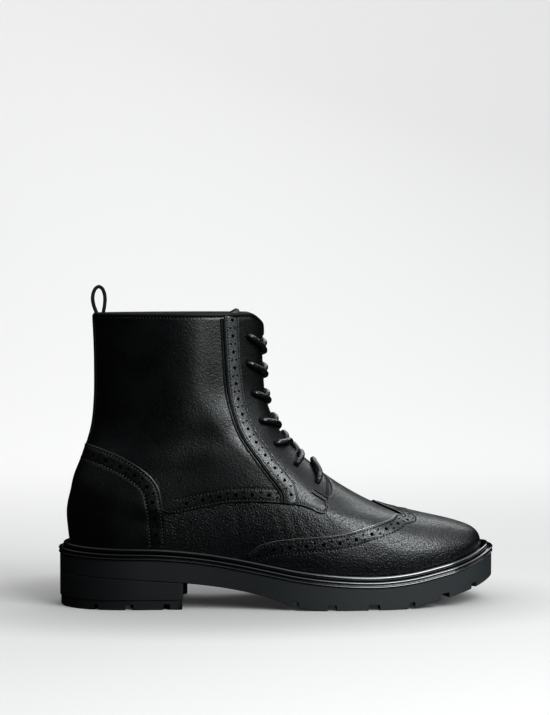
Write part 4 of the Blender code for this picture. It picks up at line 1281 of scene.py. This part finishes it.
# %% Wing cap
crest = [from_above(place) for place in WING_CREST]
wing_edge = edge(WING_EDGE, 0.0010, end=[*crest, (0.5, front_level(WING_PEAK))])
wing_edge[:, 1] = np.maximum(wing_edge[:, 1], PANEL_FOOT)
wing_start = wing_edge[0, 0]
wing_foot = np.linspace((wing_start, PANEL_FOOT), (1 - wing_start, PANEL_FOOT), 420)
wing_loop = loop_of(wing_foot, other_side(wing_edge, FRONT), wing_edge[::-1])
wing_lines = []
for distance in (0.0014, 0.0049, 0.0084):
    line = shifted(wing_edge, -distance, 10)
    keep = (line[:, 0] < FRONT) & (line[:, 1] > PANEL_FOOT + 0.004)
    unfolded = nearest(surface(*line.T), surface(*wing_edge.T)) > distance * 0.95
    wing_lines.append(line[keep & unfolded])
wing_holes = brogue(wing_lines[1])
wing_rows = [wing_lines[0], wing_lines[2]]
panel(
    "toe_cap_piece", wing_loop, vamp_leather, OVERLAY_LIFT,
    holes=wing_holes + other_holes(wing_holes, FRONT),
    rows=wing_rows + [other_side(row, FRONT) for row in wing_rows], replaced=["toe_cap"],
)

# %% Back stay
STAY_HALF = 0.005
stay_levels = np.linspace(0.432, 0.992, 90)
stay_side = np.array([(STAY_HALF / girth(v), v) for v in stay_levels])
stay_top = np.array([stay_side[-1], (-stay_side[-1, 0], stay_side[-1, 1])])
stay_foot = np.array([(-stay_side[0, 0], stay_side[0, 1]), stay_side[0]])
stay_loop = loop_of(
    stay_side, resampled(stay_top, 0.001), other_side(stay_side)[::-1], resampled(stay_foot, 0.001),
)
stay_row = shifted(stay_side[4:], 0.0013)
stay_lift = (QUARTER_LIFT[1] + 0.00003, QUARTER_LIFT[1] + 0.00085)
panel(
    "back_stay_piece", stay_loop, upper_leather, stay_lift, rows=[stay_row, other_side(stay_row)],
    spacing=0.0013, replaced=["back_stay"],
)

# %% [markdown]
# ## The stitching
#
# The rows that went into the panels as shallow dips now get their thread. Rows on the counter and the
# cap catch the light, those on the strip are black on black. Each punched hole gets a black disc of
# painted shade, and two short tacks, whose light thread is a painted highlight, hold each tab down.

# %% Sew the rows
def both_sides(rows, middle=BACK):
    return rows + [other_side(row, middle) for row in rows]


for name, rows, middle, lift, finish in (
    ("quarter_stitches", quarter_rows, BACK, QUARTER_LIFT[1], thread),
    ("counter_stitches", counter_rows, BACK, counter_over, thread),
    ("wing_stitches", wing_rows, FRONT, OVERLAY_LIFT[1], thread),
    ("strip_stitches", strip_rows, BACK, STRIP_LIFT[1], dark_thread),
    ("stay_stitches", [stay_row], BACK, stay_lift[1], dark_thread),
):
    sew(name, [stitch_row(row, lift) for row in both_sides(rows, middle)], finish)

# %% Paint shade in the holes
for name, holes, middle, lift in (
    ("quarter", band_holes, BACK, HOLE_SHADE_UP),
    ("strip", strip_holes, BACK, STRIP_LIFT[0] + HOLE_SHADE_UP),
    ("counter", counter_holes, BACK, lambda line: counter_under(line) + HOLE_SHADE_UP),
    ("wing", wing_holes, FRONT, HOLE_SHADE_UP),
):
    paint_hole_shade(f"{name}_painted_hole_shade", holes, lift)
    paint_hole_shade(f"{name}_backing_inner", other_holes(holes, middle), lift)
print("holes backed a side:", len(band_holes + strip_holes + counter_holes + wing_holes))

# %% Bar tacks
# The tack thread's light grey is a painted highlight.
tack = resampled(np.array([on_last((0.577, 0.243)), on_last((0.609, 0.206))]), 0.001)
tack_rows = [shifted(tack, offset, 1) for offset in (-0.0005, 0.0005)]
tacks = [stitch_row(row, QUARTER_LIFT[1] + 0.0003, 0.0016) for row in both_sides(tack_rows)]
sew("tab_bartacks", tacks, tack_thread_painted_highlight, 0.0014, holes=False)


# %% [markdown]
# ## The sole
#
# The sole is one outline, moved out by different amounts. A rounded section carried round it makes the
# welt's bead and the glossy rim. The thick part below is a wall of stations round the same outline, whose
# lower edge steps up at each notch between two lugs. The heel is closed by its hollow front face.

# %% Outline of the sole
MIDSOLE_THICK = 0.0034
WALL_REACH = 0.0077
LUG_HEIGHT = 0.0032
LUG_DEPTH = 0.014
HEEL_STEP = 0.006
HEEL_NOTCHES = ((0.060, 0.011), (0.136, 0.019), (0.226, 0.015))
FOREFOOT_NOTCHES = (
    (0.527, 0.014), (0.608, 0.022), (0.705, 0.027), (0.802, 0.015), (0.880, 0.022), (0.960, 0.012),
)
BREAST = ((0.272, -0.72), (0.250, -0.25), (0.250, 0.25), (0.300, 0.72))
lowest = ring(0.0, 400)[:-1, :2]


def moved_out(loop, distance):
    """A closed loop of (x, y) that runs counter-clockwise, moved out by a distance."""
    ahead = np.roll(loop, -1, axis=0) - np.roll(loop, 1, axis=0)
    out = np.stack([ahead[:, 1], -ahead[:, 0]], axis=1)
    return loop + out / np.linalg.norm(out, axis=1, keepdims=True) * distance


def rim(x):
    return sole_line("rim", x)


def swept(name, section, finish, sharp, *replaced):
    """A section of (reach, height over the rim), in millimetres, with its corners cut, carried round
    the outline."""
    rows = []
    section = np.array(section)
    ahead = np.roll(section, -1, axis=0)
    section = np.stack([section * 0.75 + ahead * 0.25, section * 0.25 + ahead * 0.75], axis=1)
    for reach, height in section.reshape(-1, 2):
        row = moved_out(lowest, reach / 1000)
        rows.append(np.column_stack([row, rim(row[:, 0]) + height / 1000]))
    faces = banded(rows, closed=True)
    add_piece(name, smooth_mesh(name, np.concatenate(rows), faces, sharp), finish, "black_rubber", *replaced)
    print(f"{name}: {len(faces)} faces")


# %% Bead and rim
turns = np.linspace(0, math.tau, 14, endpoint=False)
bead_section = [(4.1 + 1.5 * math.cos(a), 1.8 + 1.5 * math.sin(a)) for a in turns]
swept("welt_bead", bead_section, rim_rubber, 60, "welt")
RIM_SECTION = (
    (-4.0, -3.4), (8.4, -3.4), (8.5, -3.1), (8.2, -2.7), (7.6, -2.4), (7.6, -2.0), (8.2, -1.6),
    (8.5, -1.0), (8.5, -0.6), (8.2, -0.15), (7.7, 0.05), (7.2, 0.0), (6.8, -0.5), (6.2, -0.6),
    (5.9, -0.2), (5.2, 0.0), (-4.0, 0.0),
)
swept("sole_rim", RIM_SECTION, rim_rubber, 50, "midsole")


# %% Walls with notches
def notched(loop, notches, spacing=0.0022):
    """Stations along a closed loop of (x, y), doubled at both sides of every notch, and which of them
    are inside a notch."""
    loop = np.concatenate([loop, loop[:1]])
    length = run_length(loop)
    at = np.arange(0, length[-1] - spacing / 2, spacing)
    for start, size in notches:
        for x in (along(start), along(start + size)):
            for i in np.nonzero(np.diff(np.sign(loop[:, 0] - x)))[0]:
                step = (x - loop[i, 0]) / (loop[i + 1, 0] - loop[i, 0])
                place = length[i] + step * (length[i + 1] - length[i])
                at = at[np.abs(at - place) > spacing * 0.3]
                at = np.append(at, [place - 0.0001, place + 0.0001])
    at = np.sort(at)
    points = np.stack([np.interp(at, length, loop[:, i]) for i in range(2)], axis=1)
    share = points[:, 0] / LAST_LENGTH + 0.5
    inside_notch = np.zeros(len(at), bool)
    for start, size in notches:
        inside_notch |= (share > start) & (share < start + size)
    return points, inside_notch


def lugged(name, loop, notches, top, under, levels, middle, recess, replaced):
    """A block of the sole. levels are (height from top and foot, inset) down its wall, middle gives the
    line or point that its top and its underside close on, and recess how deep the plate between its
    lugs lies at each x."""
    points, in_notch = notched(loop, notches)
    high = top(points[:, 0])
    foot = under(points[:, 0]) + np.where(in_notch, LUG_HEIGHT, 0.0)
    inmost = middle(points)
    rows = [np.column_stack([inmost, top(inmost[:, 0])])]
    for level, inset in levels:
        rows.append(np.column_stack([moved_out(points, -inset), level(high, foot)]))
    gap = inmost - points
    deep = points + gap / np.linalg.norm(gap, axis=1, keepdims=True) * LUG_DEPTH
    rows.append(np.column_stack([deep, foot]))
    for row in (deep, inmost):
        plate = under(row[:, 0]) + recess(row[:, 0])
        rows.append(np.column_stack([row, np.maximum(plate, foot) if row is deep else plate]))
    faces = banded(rows)
    mesh = smooth_mesh(name, np.concatenate(rows), [face[::-1] for face in faces], 35)
    add_piece(name, mesh, wall_rubber, "black_rubber", replaced)
    print(f"{name}: {len(faces)} faces")


# %% Outsole
def outsole_top(x):
    return rim(x) - MIDSOLE_THICK - CLEARANCE


def outsole_under(x):
    return sole_line("under", x)


wall_loop = moved_out(lowest, WALL_REACH)
outsole_levels = (
    (lambda high, foot: high, 0.0006),
    (lambda high, foot: high - 0.0006, 0.0),
    (lambda high, foot: foot + 0.0003, 0.0),
    (lambda high, foot: foot, 0.0003),
)


def spine(points):
    """The middle line of the sole, which stops short of its round ends."""
    x = np.clip(points[:, 0], along(0.13), along(0.86))
    return np.column_stack([x, centre_line(x)])


lugged(
    "outsole_wall", wall_loop, FOREFOOT_NOTCHES, outsole_top, outsole_under, outsole_levels, spine,
    lambda x: LUG_HEIGHT * ramp(x, along(0.490), along(0.505)), "outsole",
)


# %% Heel
def breast_x(y):
    """The heel's hollow front face."""
    half = LAST_WIDTH / 2 + WELT_REACH
    return smooth([half * across for _, across in BREAST], [along(share) for share, _ in BREAST], y)


behind = wall_loop[:, 0] < breast_x(wall_loop[:, 1])
outer_part = wall_loop[: np.argmin(behind)]
inner_part = wall_loop[len(wall_loop) - np.argmin(behind[::-1]):]
breast_y = np.linspace(outer_part[-1, 1], inner_part[0, 1], 40)
heel_loop = np.concatenate([outer_part, np.column_stack([breast_x(breast_y), breast_y]), inner_part])
heel_middle = heel_loop.mean(axis=0)
heel_levels = (
    (lambda high, foot: high, 0.0002),
    (lambda high, foot: high - 0.0002, 0.0),
    (lambda high, foot: 0 * foot + HEEL_STEP + 0.0005, 0.0),
    (lambda high, foot: 0 * foot + HEEL_STEP, 0.0007),
    (lambda high, foot: foot + 0.0005, 0.0007),
    (lambda high, foot: foot, 0.0012),
)
lugged(
    "heel_block", heel_loop, HEEL_NOTCHES, lambda x: outsole_under(x) - CLEARANCE, lambda x: 0.0 * x,
    heel_levels, lambda points: np.tile(heel_middle, (len(points), 1)), lambda x: 0 * x + LUG_HEIGHT, "heel",
)

# %% [markdown]
# ## The tread
#
# The underside has bars between the lugs of its edge. One bar is a box whose sides slope a little, as a
# mould needs, and the bars stand in staggered rows on the recessed plate.

# %% Tread bars
def bar(length, width, height, slope=0.0007):
    """A sloping block that stands on z = 0 and points up."""
    corners = ((-1, -1), (1, -1), (1, 1), (-1, 1))
    low = np.array([(sx * length / 2, sy * width / 2, 0.0) for sx, sy in corners])
    high = low * [1 - 2 * slope / length, 1 - 2 * slope / width, 0] + [0, 0, height]
    faces = [(0, 3, 2, 1), (4, 5, 6, 7), *[(i, (i + 1) % 4, (i + 1) % 4 + 4, i + 4) for i in range(4)]]
    return np.concatenate([low, high]), faces


def tread(name, loop, spacing, size, under, low_x, high_x):
    """Staggered bars inside a loop, standing down from the recessed plate to the ground."""
    points = lattice(loop.min(axis=0), loop.max(axis=0), spacing)
    points = points[inside(points, loop) & (points[:, 0] > low_x) & (points[:, 0] < high_x)]
    z = under(points[:, 0]) + LUG_HEIGHT
    places = np.column_stack([points, z + 0.0002])
    slope = (under(points[:, 0] + 0.004) - under(points[:, 0] - 0.004)) / 0.008
    out = np.column_stack([slope, 0 * slope, -np.ones(len(slope))])
    out /= np.linalg.norm(out, axis=1, keepdims=True)
    sideways = np.tile([0.0, 1.0, 0.0], (len(points), 1))
    points, copies = repeated(*bar(*size, LUG_HEIGHT), places, sideways, out)
    add_piece(name, smooth_mesh(name, points, copies, 30), tread_rubber, "black_rubber")
    print(f"{name}: {len(places)} bars")


forefoot_inside = moved_out(moved_out(lowest, WALL_REACH - LUG_DEPTH)[::4], -0.006)
tread("forefoot_tread", forefoot_inside, 0.0125, (0.0085, 0.0055), outsole_under, along(0.53), along(0.93))
heel_inside = heel_middle + (heel_loop[::4] - heel_middle) * 0.50
tread("heel_tread", heel_inside, 0.0125, (0.0085, 0.0055), lambda x: 0.0 * x, -1.0, 1.0)

# %% [markdown]
# ## The tongue and the pull loop
#
# The tongue is one soft sheet under the facings, whose top corners just show over the collar. The pull
# loop is a flat strap of webbing folded over the back seam, with both of its ends inside the collar.

# %% Tongue
TONGUE_THICK = 0.0028
TONGUE_DROP = 0.0042
TONGUE_RISE = 0.0020


def between_grids(name, outer, inner, sharp=50):
    """A closed sheet between two grids of points that match."""
    rows, columns = outer.shape[:2]
    back = rows * columns
    corner = np.arange(back).reshape(rows, columns)
    faces = []
    for r in range(rows - 1):
        for c in range(columns - 1):
            quad = (corner[r, c], corner[r, c + 1], corner[r + 1, c + 1], corner[r + 1, c])
            faces += [quad, tuple(back + i for i in quad[::-1])]
    border = [*corner[0], *corner[1:, -1], *corner[-1, -2::-1], *corner[-2:0:-1, 0]]
    for a, b in zip(border, border[1:] + border[:1]):
        faces.append((b, a, back + a, back + b))
    return smooth_mesh(name, np.concatenate([outer.reshape(-1, 3), inner.reshape(-1, 3)]), faces, sharp)


across = np.linspace(-1, 1, 61)
tongue_foot = front_level(THROAT) - 0.03
tongue_peak = 1.0 + TONGUE_RISE / UPPER_HEIGHT
tongue_levels = (TONGUE_TOP, 0.978, 0.996, tongue_peak, 1.002)
tongue_top = np.interp(np.abs(across), (0, 0.5, 0.72, 0.80, 1.0), tongue_levels)
share = np.linspace(0, 1, 90)[:, None]
tongue_v = tongue_foot + (tongue_top[None] - tongue_foot) * share
tongue_u = 0.5 + (TONGUE_HALF[0] + (TONGUE_HALF[1] - TONGUE_HALF[0]) * share) * across[None]
thinner = 0.6 * (1 - ramp(np.minimum(1 - np.abs(across[None]) + 0 * share, (1 - share) * 3), 0.0, 0.06))
drop = WALL + TONGUE_DROP * np.clip(share * 3, 0.12, 1) + 0 * across[None]
tongue_front = surface(tongue_u, tongue_v, -drop - thinner * TONGUE_THICK / 2)
tongue_back = surface(tongue_u, tongue_v, -drop - TONGUE_THICK * (1 - thinner / 2))
tongue_mesh = between_grids("tongue_sheet", tongue_front, tongue_back)
add_piece("tongue_sheet", tongue_mesh, tongue_leather, "black_leather", "tongue")

# %% Pull loop
STRAP_WIDTH = 0.010
STRAP_THICK = 0.0022
seam = surface(np.array([0.0]), np.array([1.0]))[0]
# The strap's middle line in millimetres: forward of the back seam, and up from the topline.
STRAP_LINE = (
    (5.2, -11.5), (5.2, -4.0), (5.2, 0.0), (6.0, 5.2), (6.3, 9.8), (5.6, 13.8), (4.2, 16.3), (2.4, 17.2),
    (0.6, 16.3), (-0.9, 13.8), (-1.6, 9.8), (-0.9, 5.2), (0.9, 0.2), (1.3, -1.0),
)
strap_line = [(seam[0] + forward / 1000, seam[2] + up / 1000) for forward, up in STRAP_LINE]


def through(points, spacing):
    """A smooth curve through points, with its own points evenly spaced."""
    points = np.asarray(points, float)
    for at_spacing in (spacing / 2, spacing):
        length = run_length(points)
        even = np.linspace(0, length[-1], round(length[-1] / at_spacing) + 1)
        points = np.stack([smooth(length, points[:, i], even) for i in range(points.shape[1])], axis=1)
    return points


def rounded_section(width, thick, corner=0.0008, steps=5):
    """A flat strap's section as (across, out), with rounded edges and a slight swell."""
    section = []
    for number, (sx, sy) in enumerate(((1, 1), (-1, 1), (-1, -1), (1, -1))):
        for a in np.linspace(0, math.pi / 2, steps):
            turn = a + number * math.pi / 2
            section.append((
                sx * (width / 2 - corner) + corner * math.cos(turn),
                sy * (thick / 2 - corner) + corner * math.sin(turn),
            ))
    return section


def swept_strap(name, line, section, side):
    """A section carried along a line of 3-D points, with its first axis along side."""
    ahead = np.gradient(line, axis=0)
    ahead /= np.linalg.norm(ahead, axis=1, keepdims=True)
    out = np.cross(ahead, side)
    rows = np.stack([line + side * a + out * b for a, b in section], axis=1)
    return smooth_mesh(name, rows.reshape(-1, 3), tube_faces(rows), 60)


strap_xz = through(strap_line, 0.0005)
strap_path = np.column_stack([strap_xz[:, 0], 0 * strap_xz[:, 0], strap_xz[:, 1]])
strap_section = rounded_section(STRAP_WIDTH, STRAP_THICK)
strap_mesh = swept_strap("pull_loop_strap", strap_path, strap_section, np.array([0, 1.0, 0]))
add_piece("pull_loop_strap", strap_mesh, webbing, "black_webbing", "pull_loop")
print("strap length:", round(run_length(strap_path)[-1] * 1000), "mm")

# %% [markdown]
# ## The lace
#
# One lace runs through all the eyelets. Both of its ends are hidden inside at the top eyelets. From each
# eyelet it goes over the facing's edge, down into the gap, under the other facing and out through the
# next eyelet there, and at the bottom it lies straight across. Its braid is modelled: two sets of
# strands cross, and the nearer one stands up.

# %% Lace path
LACE_OVER = QUARTER_LIFT[1] + LACE_DIAMETER * 0.56
LACE_UNDER = -WALL - LACE_DIAMETER * 0.56


def eyelet_place(number, side):
    """An eyelet's (u, v) on either side of the throat."""
    u, v = on_last(EYELETS[number])
    return np.array([-side * u, v])


def at_facing(number, side, gap, down=0.0):
    """A place by the facing's edge, gap in from it, at the level where this lace crosses."""
    level = on_last(LACE_EDGES[number])[1] - down
    return np.array([-side * (0.5 - gap / girth(level)), level])


def laid(place, lift):
    """One point of the lace, this high over the last."""
    return surface(np.array([place[0]]), np.array([place[1]]), lift)[0]


def crossing(number, side):
    """From one eyelet over the facing's edge and under the far one, up to the far eyelet below."""
    start = eyelet_place(number, side)
    finish_at = eyelet_place(number + 1, -side)
    raised = 0.020 if side == INNER else 0.0
    lip = at_facing(number, side, THROAT_HALF + 0.0008, -raised)
    far = at_facing(number, -side, THROAT_HALF + 0.0030, down=0.012)
    middle = laid((0.5, lip[1] - 0.006), LACE_DIAMETER * (0.2 + 12 * raised))
    return [
        laid(start, -0.0006),
        laid(start * 0.93 + lip * 0.07, LACE_OVER * 0.80),
        laid(start * 0.70 + lip * 0.30, LACE_OVER),
        laid(start * 0.25 + lip * 0.75, LACE_OVER),
        laid(lip, LACE_OVER * 0.85),
        middle,
        laid(far, LACE_UNDER * 0.95),
        laid(far * 0.35 + finish_at * 0.65, LACE_UNDER),
        laid(far * 0.08 + finish_at * 0.92, LACE_UNDER * 0.85),
    ]


last_eyelet = len(EYELETS) - 1
halves = []
for side in (OUTER, INNER):
    end_in = eyelet_place(0, side)
    inside_ends = ([side * 0.030, -0.05], [side * 0.006, -0.01])
    strand_points = [laid(end_in + aside, LACE_UNDER) for aside in inside_ends]
    for number in range(last_eyelet):
        strand_points += crossing(number, side)
        side = -side
    halves.append((side, strand_points))
bottom = []
for side in (OUTER, INNER):
    start = eyelet_place(last_eyelet, side)
    lip = at_facing(last_eyelet, side, THROAT_HALF)
    bottom.append([
        laid(start, -0.0006), laid(start * 0.93 + lip * 0.07, LACE_OVER * 0.80),
        laid(start * 0.6 + lip * 0.4, LACE_OVER), laid(lip, LACE_OVER),
    ])
first, second = halves if halves[0][0] == OUTER else halves[::-1]
lace_points = first[1] + bottom[0] + bottom[1][::-1] + second[1][::-1]
lace_line = through(lace_points, 0.00042)
print("lace length through the eyelets:", round(run_length(lace_line)[-1] * 1000), "mm")


# %% Braid
def carried_frame(line):
    """Two directions across a line at each of its points, turned as little as possible on the way."""
    ahead = np.gradient(line, axis=0)
    ahead /= np.linalg.norm(ahead, axis=1, keepdims=True)
    side = np.cross(ahead[0], (0, 0, 1.0))
    sides = []
    for direction in ahead:
        side = side - direction * np.dot(side, direction)
        side = side / np.linalg.norm(side)
        sides.append(side)
    sides = np.array(sides)
    return sides, np.cross(ahead, sides)


def round_rows(line, thick, angle):
    """Rows of points round a line, at these angles and this thick, which may vary from point to point."""
    first, second = carried_frame(line)
    rows = line[:, None] + first[:, None] * (thick * np.cos(angle))[..., None]
    return rows + second[:, None] * (thick * np.sin(angle))[..., None]


def braided(name, line, radius, strands=7, pitch=0.0036, around=32, depth=0.10):
    """A round braid: its skin rises where one of two sets of spiral strands passes over the other."""
    angle = np.linspace(0, math.tau, around, endpoint=False)[None]
    turn = math.tau * run_length(line)[:, None] / pitch
    over = np.maximum(np.cos(strands * angle + turn), np.cos(strands * angle - turn))
    rows = round_rows(line, radius * (1 - depth + depth * over), angle)
    return smooth_mesh(name, rows.reshape(-1, 3), tube_faces(rows), 80)


lace_nodes = [f"lace_crossing_{number}" for number in range(1, last_eyelet + 1)] + ["lace_bar"]
lace_mesh = braided("lace", lace_line, LACE_DIAMETER / 2)
add_piece("lace", lace_mesh, waxed_cord, "waxed_cord", *lace_nodes)
print("lace faces:", len(lace_mesh.polygons))


# %% [markdown]
# ## Pipings and cut edges
#
# A black piping and a cord run behind each strip, a binding folds over the topline, and the wing's cut
# edge is burnished to a thin gleam. Each is a thin round line, so one function carries a circle along
# a line on the last. Beside each tack and in the gap under the wing's peak, the line is sunk a little
# and matte black: painted shade.

# %% Piping
def piping(name, line, lift, radius, finish, around=8):
    """A thin round edging along a line on the last."""
    angle = np.linspace(0, math.tau, around, endpoint=False)[None]
    rows = round_rows(surface(*line.T, lift), radius, angle)
    add_piece(name, smooth_mesh(name, rows.reshape(-1, 3), tube_faces(rows), 60), finish, "black_leather")


quarter_top = QUARTER_LIFT[1]
bound = resampled(np.concatenate([topline, collar_corner]) * [1, 0.994], 0.0015)
for side, name in ((1, "outer"), (-1, "inner")):
    turned = np.array([side, 1])
    rear = strip_rear[2:]
    hidden = shifted(rear, -0.0005) * turned
    piping(f"strip_piping_{name}", hidden, quarter_top + 0.0002, 0.00085, piping_black)
    piping(f"strip_cord_{name}", shifted(rear, -0.0023) * turned, quarter_top, 0.00065, piping_black)
    piping(f"topline_binding_{name}", bound * turned, 0.0, 0.0016, piping_black, 10)
    for number, offset in enumerate((-0.0014, 0.0014)):
        tack_shade_mark = shifted(tack, offset, 1) * turned
        # A matte black line beside each tack: painted shade.
        piping(f"tack_painted_shade_{name}_{number}", tack_shade_mark, quarter_top - 0.0001, 0.0005, painted_shade_black)

# %% Edge of the wing
wing_rim = wing_edge[wing_edge[:, 1] > PANEL_FOOT + 0.004]
wing_gap_shade = shifted(wing_rim[-26:], 0.0007)
for name, rim_line, peak_shade_line in (
    ("outer", wing_rim, wing_gap_shade), ("inner", other_side(wing_rim, FRONT), other_side(wing_gap_shade, FRONT)),
):
    piping(f"wing_edge_{name}", rim_line, OVERLAY_LIFT[1] - 0.0004, 0.00042, edge_leather)
    # A matte black line along the wing's peak: painted shadow in its gap.
    piping(f"wing_gap_{name}", peak_shade_line, 0.0002, 0.0007, painted_shade_black)
print("wing edge:", round(line_length(wing_rim)[-1] * 1000), "mm a side")

# %% Insole
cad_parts["insole"].material_slots[0].material = footbed_leather
print("insole finish:", footbed_leather.name)

# %% [markdown]
# ## Size and finish
#
# The dressed boot has to stay in the box of its solids, so its box is worked out.

# %% Finish
low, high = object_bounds()
